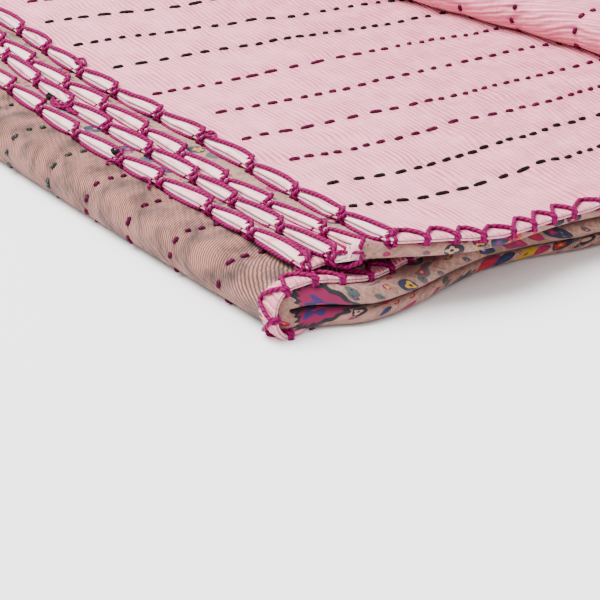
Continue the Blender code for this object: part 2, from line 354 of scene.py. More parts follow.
    def section(self, spot: Across, front: Front, x: float, top_arm: bool) -> tuple[float, float]:
        """Place one spot in its section.

        Args:
            spot: the place across the cloth.
            front: the front that the section has at this station.
            x: the station's place along X, which the rows' hand-sewn drift needs.
            top_arm: whether the section is on the exposed left part of the top.

        Returns:
            The distance behind the front, and the offset from the arm's middle.
        """
        back_radius = self.pitch / 2
        if spot.fold is Fold.BACK:
            centre = (1.5 - spot.layer) * self.pitch
            side = back_radius * math.cos(spot.angle)
            return self.depth - back_radius * (1 - math.sin(spot.angle)), centre + side
        if spot.fold is Fold.FRONT:
            reach = front.nose + front.nose_radius * (1 - math.sin(spot.angle))
            return reach, front.nose_radius * math.cos(spot.angle)
        level = self.layers[int(spot.layer)].level
        along = min(spot.along, self.depth - back_radius)
        if abs(level) < 1:
            depth = min(front.nose + front.nose_radius + along, self.depth - back_radius)
            return depth, math.copysign(self.inner_offset(depth, front), level)
        upper = level > 0
        set_back = front.first_edge if upper else front.last_edge
        share = front.face_puff if upper else front.back_puff
        puff = (self.swell if upper else self.back_puff) * share
        depth = along + set_back * (1 - smooth(along / self.first_row))
        number = self.row_number(x, depth, top_arm)
        height = abs(math.sin(math.pi * number)) ** self.row_hollow
        height *= smooth((self.depth - depth) / self.row_spacing)
        offset = max(1.5 * self.pitch, self.inner_offset(depth, front) + self.pitch)
        return depth, math.copysign(offset + puff * height, level)

    def left_end(self, layer: float, depth: float) -> float:
        """Return X of the top arm's sewn left end, for a place between two layers."""
        index = min(max(layer, 0.0), 3.0)
        low = int(index)
        high = min(low + 1, 3)
        ends = []
        for one in (self.layers[low], self.layers[high]):
            straight = mix(one.edge_x, one.far_edge_x, smooth(depth / self.far_edge_depth) ** 2)
            ends.append(straight + one.wave * wave(depth, self.end_wave_length, one.phase))
        return self.left + mix(ends[0], ends[1], index - low)

    def flap_shift(self, x: float, depth: float) -> float:
        """Return how far the flap's fold line is drawn along X, fading to the right turn."""
        middle = (self.flap_front_x + self.flap_back_x) / 2
        wanted = mix(self.flap_front_x, self.flap_back_x, depth / self.depth) - middle
        reach = self.right_turn - self.left - middle
        return wanted * smooth((self.right_turn - x) / reach)

    def belly(self, from_left: float, depth: float, arm: float) -> float:
        """Return how far the front bulges or draws in near the left, both ways in turn."""
        _, middle_arm, top_arm, flap_low, _ = self.arms
        if arm > (top_arm + flap_low) / 2:
            return 0.0
        length = self.low_belly_length
        low = self.low_belly * math.cos(2 * math.pi * (from_left - self.low_belly_x) / length)
        length = self.top_belly_length
        high = self.top_belly * math.cos(2 * math.pi * (from_left - self.top_belly_x) / length)
        upper = smooth((arm - middle_arm) / (top_arm - middle_arm))
        starts = smooth((from_left - self.belly_from_x) / (self.belly_full_x - self.belly_from_x))
        ends = smooth((self.belly_to_x - from_left) / (0.4 * self.belly_to_x))
        return mix(low, high, upper) * starts * ends * smooth(1 - depth / self.belly_depth)

    def unevenness(self, x: float, depth: float, z: float, arm: float) -> Vector:
        """Return how far a place moves for the easy waves, the lifted corner and the crease."""
        _, middle_arm, top_arm, _, _ = self.arms
        from_left = (x - self.left) / self.width
        front_fade = smooth(1 - depth / self.wave_reach)
        side_fade = smooth(1 - (x - self.left) / self.wave_reach)
        arm_phase = 2 * math.pi * arm / self.arm_wave_step
        y = depth - self.depth / 2
        sideways = 1 + wave(y, self.side_wave_length, arm_phase)
        forwards = 1 + wave(x, self.front_wave_length, arm_phase)
        shift_x = self.side_wave * sideways * side_fade
        shift_y = self.front_wave * forwards * front_fade
        swing = self.height_wave * wave(y, self.height_wave_length, 0.0)
        swing *= mix(1.0, self.height_wave_right, from_left)
        rise = (z - self.cloth / 2) * swing
        reach = self.press_to_x - self.press_from_x
        pressed = smooth((x - self.left - self.press_from_x) / reach)
        rise -= z * self.press * pressed * smooth(1 - depth / self.press_depth)
        under = smooth((top_arm - arm) / (top_arm - middle_arm))
        shift_y += self.recede * pressed * under * front_fade
        shift_y -= self.belly(x - self.left, depth, arm)
        if arm <= (middle_arm + top_arm) / 2:
            near = smooth((x - self.left - self.sink_from_x) / (self.sink_full_x - self.sink_from_x))
            past = smooth((self.left + self.sink_to_x - x) / (self.sink_to_x - self.sink_full_x))
            weight = smooth(z / middle_arm)
            rise -= self.sink * weight * near * past * smooth(1 - depth / self.sink_depth)
        if arm > (middle_arm + top_arm) / 2:
            along_x = smooth(1 - (x - self.left) / self.corner_reach_x)
            along_y = smooth(1 - depth / self.corner_reach_y)
            rise += self.corner_lift * mix(self.edge_lift_share, 1.0, along_y) * along_x
        if arm == top_arm:
            from_crease = abs(x - self.left - self.crease_x) / self.crease_half_width
            level, change, length = self.crease_even
            evenness = level + change * wave(y, length, 0.0)
            crease = self.crease_height * smooth(1 - from_crease) * evenness
            rise += crease * smooth((z - top_arm) / self.half_stack)
        return Vector((shift_x, shift_y, rise))

    def place(self, spot: Across, station: Station) -> Vector:
        """Put one spot of one station in space."""
        _, _, top, flap_low, _ = self.arms
        x = station.x
        on_top = station.z == top
        depth, offset = self.section(spot, station.front, x, on_top)
        if station.pull:
            near_edge = self.left_end(spot.layer, depth) + station.from_edge
            x = mix(x, near_edge, station.pull)
        spread = mix(1.0, self.edge_spread, station.pull)
        x -= math.sin(station.heading) * offset
        z = station.z + math.cos(station.heading) * offset * spread
        z += self.half_stack * (spread - 1.0)
        if station.z > (top + flap_low) / 2:
            x += self.flap_shift(x, depth)
        moved = self.unevenness(x, depth, z, station.z)
        if spot.layer == 3 and station.pull:
            near = smooth(1 - (x - self.left) / (2 * self.droop_reach))
            droop = self.corner_droop * near * smooth(1 - depth / self.droop_reach)
            moved.z -= droop * station.pull
        placed = Vector((x, depth - self.depth / 2, z)) + moved
        placed.z = max(placed.z, self.cloth / 2)
        return placed


@dataclass(frozen=True)
class Fronts:
    """The fronts along the path: how far each edge and nose stands back, and the nose's size."""

    top_left: Front = Front(0.4 * MM, 1.2 * MM, 7.0 * MM, 1.20 * MM, 1.0, 0.5)
    top: Front = Front(-1.9 * MM, 0.2 * MM, 9.0 * MM, 1.25 * MM, 1.0, 0.5)
    right: Front = Front(1.0 * MM, 0.6 * MM, 3.0 * MM, 0.80 * MM, 0.6, 0.3)
    flap: Front = Front(1.2 * MM, 0.8 * MM, 3.0 * MM, 0.90 * MM, 1.0, 0.5)
    middle: Front = Front(8.5 * MM, 1.2 * MM, 8.5 * MM, 1.80 * MM, 0.5, 0.7)
    left_nose: Front = Front(9.8 * MM, 2.4 * MM, 0.3 * MM, 2.20 * MM, 0.0, 1.0)
    nose_above: Front = Front(9.8 * MM, 2.0 * MM, 2.0 * MM, 2.25 * MM, 0.0, 1.0)
    nose_below: Front = Front(9.8 * MM, 2.0 * MM, 1.4 * MM, 1.90 * MM, 0.0, 0.3)
    bottom_left: Front = Front(8.5 * MM, 1.2 * MM, 8.0 * MM, 1.80 * MM, 0.3, 0.0)
    bottom: Front = Front(8.5 * MM, 0.8 * MM, 8.5 * MM, 1.65 * MM, 0.5, 0.0)


class FoldPath:
    """The stations along the cloth and the spots across it, close where the cloth shows."""

    def __init__(self, shape: FoldShape, fronts: Fronts) -> None:
        self.shape = shape
        self.fronts = fronts
        self.marks: dict[str, int] = {}

    @staticmethod
    def run(places: list[float], z: float, heading: float, near: Front,
            far: Front) -> list[Station]:
        """Lay stations along one straight run, its front easing from one to the other."""
        first, last = places[0], places[-1]
        stations = []
        for x in places:
            share = (x - first) / (last - first) if last != first else 0.0
            stations.append(Station(x, z, heading, mix_fronts(near, far, share)))
        return stations

    @staticmethod
    def turn(x: float, z_from: float, z_to: float, start: float, sweep: float, steps: int,
             fronts: tuple[Front, Front, Front]) -> list[Station]:
        """Lay stations round one half turn.

        Args:
            x: where the turn starts and ends along X.
            z_from: height of the arm that it leaves.
            z_to: height of the arm that it joins.
            start: heading at its start, in radians.
            sweep: how far the heading turns, half a turn either way.
            steps: how many steps the turn has.
            fronts: the front at its start, middle and end.

        Returns:
            The stations, without the turn's own first and last place.
        """
        radius = abs(z_to - z_from) / 2
        middle = (z_from + z_to) / 2
        side = math.copysign(1.0, sweep)
        before, centre, after = fronts
        stations = []
        for step in range(1, steps):
            share = step / steps
            heading = start + sweep * share
            front = mix_fronts(before, centre, min(share * 2, 1.0))
            front = mix_fronts(front, after, max(share * 2 - 1.0, 0.0))
            x_here = x + radius * math.sin(heading) * side
            z_here = middle - radius * math.cos(heading) * side
            stations.append(Station(x_here, z_here, heading, front))
        return stations

    def stations(self) -> list[Station]:
        """Lay the whole path, from the sewn left end on the top to the sewn end underneath."""
        s, f = self.shape, self.fronts
        bottom, middle, top, flap_low, flap_high = s.arms
        left, right, half = s.left, s.right_turn, math.pi
        flap_x = left + (s.flap_front_x + s.flap_back_x) / 2
        settled = left + s.top_settled_x
        path = []
        for from_edge in (0.0, 1.3, 2.8, 4.6, 6.8, 9.2, 11.6, 14.0):
            path.append(Station(settled, top, 0.0, f.top_left, 1.0, from_edge * MM))
        for share in (0.2, 0.4, 0.6, 0.8):
            front = mix_fronts(f.top_left, f.top, share)
            path.append(Station(settled, top, 0.0, front, 1.0 - share, s.edge_strip))
        shown_to = left + s.flap_front_x + 4 * MM
        path += self.run(spaced(settled, shown_to, 4.0 * MM), top, 0.0, f.top, f.top)
        self.marks["top_hidden"] = len(path)
        path += self.run(spaced(shown_to, right, 30 * MM) + [right], top, 0.0, f.top, f.right)
        path += self.turn(right, top, flap_low, 0.0, half, 5, (f.right,) * 3)
        low = spaced(right, flap_x, 24 * MM) + [flap_x]
        path += self.run(low, flap_low, half, f.right, f.flap)
        self.marks["flap_nose"] = len(path)
        path += self.turn(flap_x, flap_low, flap_high, half, -half, 9, (f.flap,) * 3)
        high = spaced(flap_x, right, 5.6 * MM) + [right]
        path += self.run(high, flap_high, 0.0, f.flap, f.right)
        path += self.turn(right, flap_high, middle, 0.0, -half, 12, (f.right, f.right, f.middle))
        self.marks["middle"] = len(path)
        nose_x = left + s.middle_nose_x
        path += self.run(spaced(right, nose_x, 13 * MM), middle, -half, f.middle, f.middle)
        near_nose = spaced(nose_x, s.left_turn, 5 * MM) + [s.left_turn]
        path += self.run(near_nose, middle, -half, f.middle, f.nose_above)
        self.marks["left_nose"] = len(path)
        path += self.turn(s.left_turn, middle, bottom, -half, half, 14,
                          (f.nose_above, f.left_nose, f.nose_below))
        below = spaced(s.left_turn, left + s.bottom_nose_x, 4 * MM)
        path += self.run(below, bottom, 0.0, f.nose_below, f.bottom_left)
        below = spaced(left + s.bottom_nose_x, left + s.bottom_settled_x, 6 * MM)
        path += self.run(below, bottom, 0.0, f.bottom_left, f.bottom)
        end = right + s.bottom_end_reach
        below = spaced(left + s.bottom_settled_x, end - 12 * MM, 14 * MM)
        below += [end - 12 * MM, end - 8 * MM, end - 5 * MM, end - 3 * MM, end - 1.3 * MM, end]
        path += self.run(below, bottom, 0.0, f.bottom, f.bottom)
        return path

    def spots(self) -> list[Across]:
        """Walk across the cloth, from the top sewn edge to the bottom one."""
        s = self.shape
        edge = [depth * MM for depth in (0, 1.3, 2.8, 4.6, 6.8, 9.5, 12.5, 16, 19.5, 23)]
        shown = edge + spaced(s.first_row, s.depth, s.row_spacing / 5) + [s.depth]
        hidden = edge + spaced(s.first_row, s.depth, s.row_spacing / 3) + [s.depth]
        inner = [depth * MM for depth in (0, 0.9, 1.8, 2.7, 3.7, 4.6, 5.5)]
        inner += spaced(12 * MM, s.depth, 17 * MM) + [s.depth]
        path = [Across(0, along) for along in shown]
        path += self.fold(Fold.BACK, 0.5, 6)
        path += [Across(1, along) for along in reversed(inner)]
        path += self.fold(Fold.FRONT, 1.5, 10)
        path += [Across(2, along) for along in inner]
        path += self.fold(Fold.BACK, 2.5, 6)
        path += [Across(3, along) for along in reversed(hidden)]
        return path

    @staticmethod
    def fold(kind: Fold, layer: float, steps: int) -> list[Across]:
        """List the spots inside one fold, without the two where it meets its layers."""
        return [Across(layer, 0.0, kind, math.pi * k / steps) for k in range(1, steps)]


class Cloth:
    """The folded cloth as a grid of places, with distances along and across it."""

    def __init__(self, shape: FoldShape, path: FoldPath) -> None:
        self.shape = shape
        self.stations = path.stations()
        self.spots = path.spots()
        rows = [[shape.place(spot, station) for spot in self.spots] for station in self.stations]
        self.pos = np.array(rows)
        self.pos[:, :, :2] += shape.settled
        along, across = np.gradient(self.pos, axis=(0, 1))
        normal = np.cross(along, across)
        self.nrm = normal / np.linalg.norm(normal, axis=2, keepdims=True)
        steps = np.linalg.norm(np.diff(self.pos, axis=0), axis=2)
        start = np.zeros((1, len(self.spots)))
        self.along = np.concatenate([start, np.cumsum(steps, axis=0)])
        section = self.pos[self.reference()]
        steps = np.linalg.norm(np.diff(section, axis=0), axis=1)
        self.across = np.concatenate([[0.0], np.cumsum(steps)])

    def reference(self) -> int:
        """Return the station whose section gives distances across the cloth."""
        wanted = self.shape.left + self.shape.crease_x
        return min(range(len(self.stations)), key=lambda k: abs(self.stations[k].x - wanted))

    @staticmethod
    def between(grid: np.ndarray, i: np.ndarray, j: np.ndarray) -> np.ndarray:
        """Read a grid at places between its own points."""
        i = np.clip(i, 0, grid.shape[0] - 1.000001)
        j = np.clip(j, 0, grid.shape[1] - 1.000001)
        low_i, low_j = i.astype(int), j.astype(int)
        share_i, share_j = (i - low_i)[:, None], (j - low_j)[:, None]
        near = grid[low_i, low_j] * (1 - share_j) + grid[low_i, low_j + 1] * share_j
        far = grid[low_i + 1, low_j] * (1 - share_j) + grid[low_i + 1, low_j + 1] * share_j
        return near * (1 - share_i) + far * share_i

    def at(self, i: np.ndarray, j: np.ndarray, lift: np.ndarray) -> np.ndarray:
        """Return places that stand off the middle of the cloth, towards its pink side if up."""
        return self.between(self.pos, i, j) + self.between(self.nrm, i, j) * lift[:, None]

    def flat(self) -> np.ndarray:
        """Return where each place of the grid lies on the flat cloth, along and across."""
        across = np.broadcast_to(self.across[None, :], self.along.shape)
        return np.stack([self.along, across], 2)


class Nodes:
    """Adds nodes to one node tree and joins them up."""

    def __init__(self, tree: bpy.types.NodeTree) -> None:
        self.tree = tree

    def add(self, kind: str, values: dict | None = None, out: int | str = 0,
            **settings: object) -> Socket | None:
        """Add one node.

        Args:
            kind: the node's type name.
            values: what each input takes, a constant or another node's output.
            out: which of its outputs is wanted.
            settings: the node's own options.

        Returns:
            The wanted output, or None if the node has none.
        """
        node = self.tree.nodes.new(kind)
        for name, value in settings.items():
            setattr(node, name, value)
        for name, value in (values or {}).items():
            if isinstance(value, Socket):
                self.tree.links.new(value, node.inputs[name])
            else:
                node.inputs[name].default_value = value
        return node.outputs[out] if len(node.outputs) else None

    def maths(self, operation: str, *values: Value) -> Socket:
        """Add one step of arithmetic on numbers."""
        return self.add("ShaderNodeMath", dict(enumerate(values)), operation=operation)

    def vectors(self, operation: str, *values: tuple | Socket) -> Socket:
        """Add one step of arithmetic on vectors."""
        out = "Value" if operation == "LENGTH" else 0
        return self.add("ShaderNodeVectorMath", dict(enumerate(values)), out, operation=operation)

    def parts(self, vector: Socket, kind: str = "XYZ") -> list[Socket]:
        """Split a vector, or a colour, into its three parts."""
        return list(self.add(f"ShaderNodeSeparate{kind}", {0: vector}).node.outputs)

    def joined(self, *parts: Value) -> Socket:
        """Make a vector of its parts."""
        return self.add("ShaderNodeCombineXYZ", dict(enumerate(parts)))

    def turned(self, vector: Socket, angle: Value) -> Socket:
        """Turn places about the origin, in their own plane."""
        return self.add("ShaderNodeVectorRotate", {"Vector": vector, "Angle": angle},
                        rotation_type="Z_AXIS")

    def ranged(self, value: Socket, low: float, high: float, to_low: float = 0.0,
               to_high: Value = 1.0, eased: bool = False) -> Socket:
        """Take a value from one range to another, held at both ends and eased if wanted."""
        return self.add("ShaderNodeMapRange",
                        {"Value": value, "From Min": low, "From Max": high, "To Min": to_low,
                         "To Max": to_high},
                        interpolation_type="SMOOTHSTEP" if eased else "LINEAR")

    def noise(self, where: Socket, scale: float = 1.0, detail: float = 2.0,
              roughness: float = 0.5, distortion: float = 0.0) -> Socket:
        """Add soft random patches, with so many of them to a metre."""
        return self.add("ShaderNodeTexNoise", {
            "Vector": where, "Scale": scale, "Detail": detail, "Roughness": roughness,
            "Distortion": distortion})

    def attribute(self, name: str, out: str = "Fac") -> Socket:
        """Read a value that the mesh carries."""
        return self.add("ShaderNodeAttribute", out=out, attribute_name=name)

    def mixed(self, share: Value, under: Socket, over: Socket) -> Socket:
        """Mix two numbers."""
        return self.add("ShaderNodeMix", {"Factor": share, 2: under, 3: over})

    def blend(self, share: Value, under: Socket | str, over: Socket | str) -> Socket:
        """Lay one colour over another, each a node's output or a hex colour."""
        under, over = (linear(one) if isinstance(one, str) else one for one in (under, over))
        return self.add("ShaderNodeMix", {"Factor": share, 6: under, 7: over}, 2,
                        data_type="RGBA")


def linear(colour: str) -> tuple[float, float, float, float]:
    """Turn an sRGB hex colour into linear values."""
    parts = [int(colour[k:k + 2], 16) / 255 for k in (1, 3, 5)]
    shades = [p / 12.92 if p <= 0.04045 else ((p + 0.055) / 1.055) ** 2.4 for p in parts]
    return (*shades, 1.0)


def new_material(name: str) -> tuple[bpy.types.Material, Nodes]:
    """Make a material with an empty node tree."""
    material = bpy.data.materials.new(name)
    material.use_nodes = True
    material.node_tree.nodes.clear()
    return material, Nodes(material.node_tree)


def finish_material(nodes: Nodes, colour: Socket | str, roughness: float,
                    height: Socket | None = None, values: dict | None = None) -> None:
    """Close a material with its surface shader.

    Args:
        nodes: the material's nodes.
        colour: its colour, a node's output or a hex colour.
        roughness: how matt it is.
        height: its relief in metres, if it has one.
        values: what other inputs of the shader take.
    """
    taken = {"Base Color": linear(colour) if isinstance(colour, str) else colour,
             "Roughness": roughness, **(values or {})}
    if height is not None:
        taken["Normal"] = nodes.add("ShaderNodeBump", {"Height": height, "Distance": 1.0})
    surface = nodes.add("ShaderNodeBsdfPrincipled", taken, "BSDF")
    nodes.add("ShaderNodeOutputMaterial", {"Surface": surface})


def new_group(name: str, kind: str, output: str,
              inputs: dict[str, str]) -> tuple[Nodes, bpy.types.NodeOutputs]:
    """Make an empty node group.

    Args:
        name: the group's name.
        kind: Shader or Geometry.
        output: the kind of its one output.
        inputs: the kind of each named input.

    Returns:
        Its nodes, and its inputs as sockets to read.
    """
    group = bpy.data.node_groups.new(name, f"{kind}NodeTree")
    group.interface.new_socket(output, in_out="OUTPUT", socket_type=f"NodeSocket{output}")
    for label, socket in inputs.items():
        group.interface.new_socket(label, in_out="INPUT", socket_type=f"NodeSocket{socket}")
    return Nodes(group), group.nodes.new("NodeGroupInput").outputs


@dataclass(frozen=True)
class QuiltingFinish:
    """Puckers that running stitch draws into the cloth, as a height in metres.

    To the eye they are a soft hollow along each row, a ripple at each stitch and creases that
    cross the rows. The scales are in creases to a metre: 330 makes one each 3 mm.
    """

    ripple: float = 0.32 * MM
    trough: float = 0.30 * MM
    wrinkle: float = 0.62 * MM
    wrinkle_scale: tuple[float, float] = (330.0, 36.0)
    swelling: float = 1.1 * MM
    swelling_scale: tuple[float, float] = (80.0, 50.0)
    crease_distortion: float = 0.4
    ridge: float = 0.12 * MM
    ridge_pitch: float = 1.6 * MM
    ridge_drift: float = 24.0
    ridge_drift_scale: tuple[float, float] = (60.0, 45.0)
    reach: float = 0.34

    def height(self, nodes: Nodes, where: Socket) -> Socket:
        """Add the puckers' nodes and return their height."""
        row = nodes.attribute("row")
        away = nodes.maths("ABSOLUTE", nodes.maths("SUBTRACT", row, nodes.maths("ROUND", row)))
        near = nodes.ranged(away, 0.0, self.reach, 1.0, 0.0, eased=True)
        phase = nodes.maths("MULTIPLY", nodes.attribute("stitch"), 2 * math.pi)
        ripple = nodes.maths("MULTIPLY", nodes.maths("COSINE", phase), near)
        total = nodes.maths("MULTIPLY", ripple, self.ripple)
        total = nodes.maths("MULTIPLY_ADD", near, -self.trough, total)
        for scale, tall in ((self.wrinkle_scale, self.wrinkle),
                            (self.swelling_scale, self.swelling)):
            stretched = nodes.vectors("MULTIPLY", where, (*scale, 1.0))
            creases = nodes.noise(stretched, distortion=self.crease_distortion)
            total = nodes.maths("MULTIPLY_ADD", creases, tall, total)
        return nodes.maths("MULTIPLY_ADD", self.ridged(nodes, where), self.ridge, total)

    def ridged(self, nodes: Nodes, where: Socket) -> Socket:
        """Add the fine ridges that lie beside the sewn end, from -1 to 1."""
        stretched = nodes.vectors("MULTIPLY", where, (*self.ridge_drift_scale, 1.0))
        drift = nodes.maths("MULTIPLY", nodes.noise(stretched), self.ridge_drift)
        along = nodes.parts(where)[0]
        count = nodes.maths("MULTIPLY_ADD", along, 2 * math.pi / self.ridge_pitch, drift)
        return nodes.maths("SINE", count)


@dataclass(frozen=True)
class CottonFinish:
    """Plain-woven cotton: soft and matt, its threads seen as fine streaks both ways.

    Its real threads, about 0.25 mm each, would not show in the render. So the streaks are
    0.8 to 1 mm wide and each rib is at least 0.36 mm. Scales are in streaks to a metre.
    """

    name: str
    base: str
    light: str
    dark: str
    warp: tuple[float, float] = (1200.0, 240.0)
    weft: tuple[float, float] = (240.0, 1200.0)
    turn: float = 0.0
    streaks: float = 0.5
    streak_roughness: float = 0.7
    rib: float = 0.50 * MM
    rib_share: float = 0.4
    rib_drift: float = 3.5
    mottle_scale: float = 38.0
    mottle: float = 0.6
    # Random patches of painted shade: how many to a metre, and how far they darken towards the
    # cloth's dark colour.
    shade_patch_scale: float = 150.0
    shade_patches: float = 0.0
    relief: float = 0.035 * MM
    sheen: float = 0.08
    sheen_roughness: float = 0.5
    roughness: float = 0.92

    def begin(self) -> tuple[bpy.types.Material, Nodes, Socket]:
        """Start the material, with the places on the flat cloth that its patterns lie on."""
        material, nodes = new_material(self.name)
        return material, nodes, nodes.add("ShaderNodeUVMap", uv_map="cloth")

    def woven(self, nodes: Nodes, where: Socket) -> tuple[Socket, Socket]:
        """Add the weave and return the cloth's own colour and its height in metres."""
        turned = nodes.turned(where, self.turn)
        warp, weft = (nodes.noise(nodes.vectors("MULTIPLY", turned, (*streak, 1.0)),
                                  roughness=self.streak_roughness)
                      for streak in (self.warp, self.weft))
        drift = nodes.maths("MULTIPLY", weft, self.rib_drift)
        count = nodes.maths("MULTIPLY_ADD", nodes.parts(turned)[0], 2 * math.pi / self.rib, drift)
        ribs = nodes.maths("MULTIPLY_ADD", nodes.maths("SINE", count), 0.25, 0.5)
        shade = nodes.mixed(self.rib_share, nodes.mixed(self.streaks, warp, weft), ribs)
        height = nodes.maths("MULTIPLY", shade, self.relief)
        return self.ground(nodes, shade, where), height

    def ground(self, nodes: Nodes, shade: Socket, where: Socket) -> Socket:
        """Add the cloth's colour, uneven in its threads and mottled, with random patches of painted
        shade that stand in for the shade of its hollows.
        """
        dyed = nodes.blend(nodes.ranged(shade, 0.34, 0.66), self.dark, self.light)
        mottled = nodes.maths("MULTIPLY", nodes.noise(where, self.mottle_scale, 3.0), self.mottle)
        dyed = nodes.blend(mottled, dyed, self.base)
        # Painted shade: random patches darkened towards the dark colour, for the shade in the
        # cloth's hollows.
        shaded_spots = nodes.noise(where, self.shade_patch_scale, 3.0)
        return nodes.blend(nodes.ranged(shaded_spots, 0.42, 0.68, 0.0, self.shade_patches), dyed, self.dark)

    def close(self, nodes: Nodes, colour: Socket, height: Socket) -> None:
        """End the material: matt, with a faint bloom of fibres at its edges."""
        finish_material(nodes, colour, self.roughness, height, {
            "Sheen Weight": self.sheen, "Sheen Roughness": self.sheen_roughness})


@dataclass(frozen=True)
class FaceFinish:
    """The pink face: faded to near white at the turned hem and towards the sewn corner.

    Painted shade darkens the hollows of its fine ridges, in patches; it gives the eye washed and
    shrunken quilted cotton.
    """

    cotton: CottonFinish
    hem: str = "#F0C0C7"
    fade: str = "#EE9BAC"
    fade_from: float = 105 * MM
    fade_to: float = 20 * MM
    # Painted shade in the hollows of the fine ridges: how dark at most, and how many patches to a
    # metre.
    groove_shade: float = 0.9
    groove_shade_patches: float = 85.0

    def build(self) -> bpy.types.Material:
        """Make the material."""
        material, nodes, where = self.cotton.begin()
        colour, weave = self.cotton.woven(nodes, where)
        faded = nodes.ranged(nodes.parts(where)[0], self.fade_from, self.fade_to, 0.0, 0.5,
                             eased=True)
        colour = nodes.blend(faded, colour, self.fade)
        colour = nodes.blend(nodes.attribute("hem"), colour, self.hem)
        quilting = QuiltingFinish()
        # Painted shade: the hollows of the fine ridges darkened, more in some patches than in
        # others.
        patches = nodes.noise(where, self.groove_shade_patches, 3.0)
        strength = nodes.ranged(patches, 0.36, 0.64, 0.1, self.groove_shade)
        groove_shadow = nodes.ranged(quilting.ridged(nodes, where), 0.3, -1.0, 0.0, strength)
        colour = nodes.blend(groove_shadow, colour, self.cotton.dark)
        height = nodes.maths("ADD", weave, quilting.height(nodes, where))
        self.cotton.close(nodes, colour, height)
        return material


class Motif(NamedTuple):
    """One printed flower, drop or leaf: its place on the cloth, size and colours."""

    along: float
    across: float
    size: float
    turn: float
    petals: float
    field: str
    petal: str
    heart: str


class Strewn(NamedTuple):
    """Motifs strewn by chance, at most one to a cell of the cloth."""

    wide: float
    tall: float
    size: float
    share: float
    petals: float


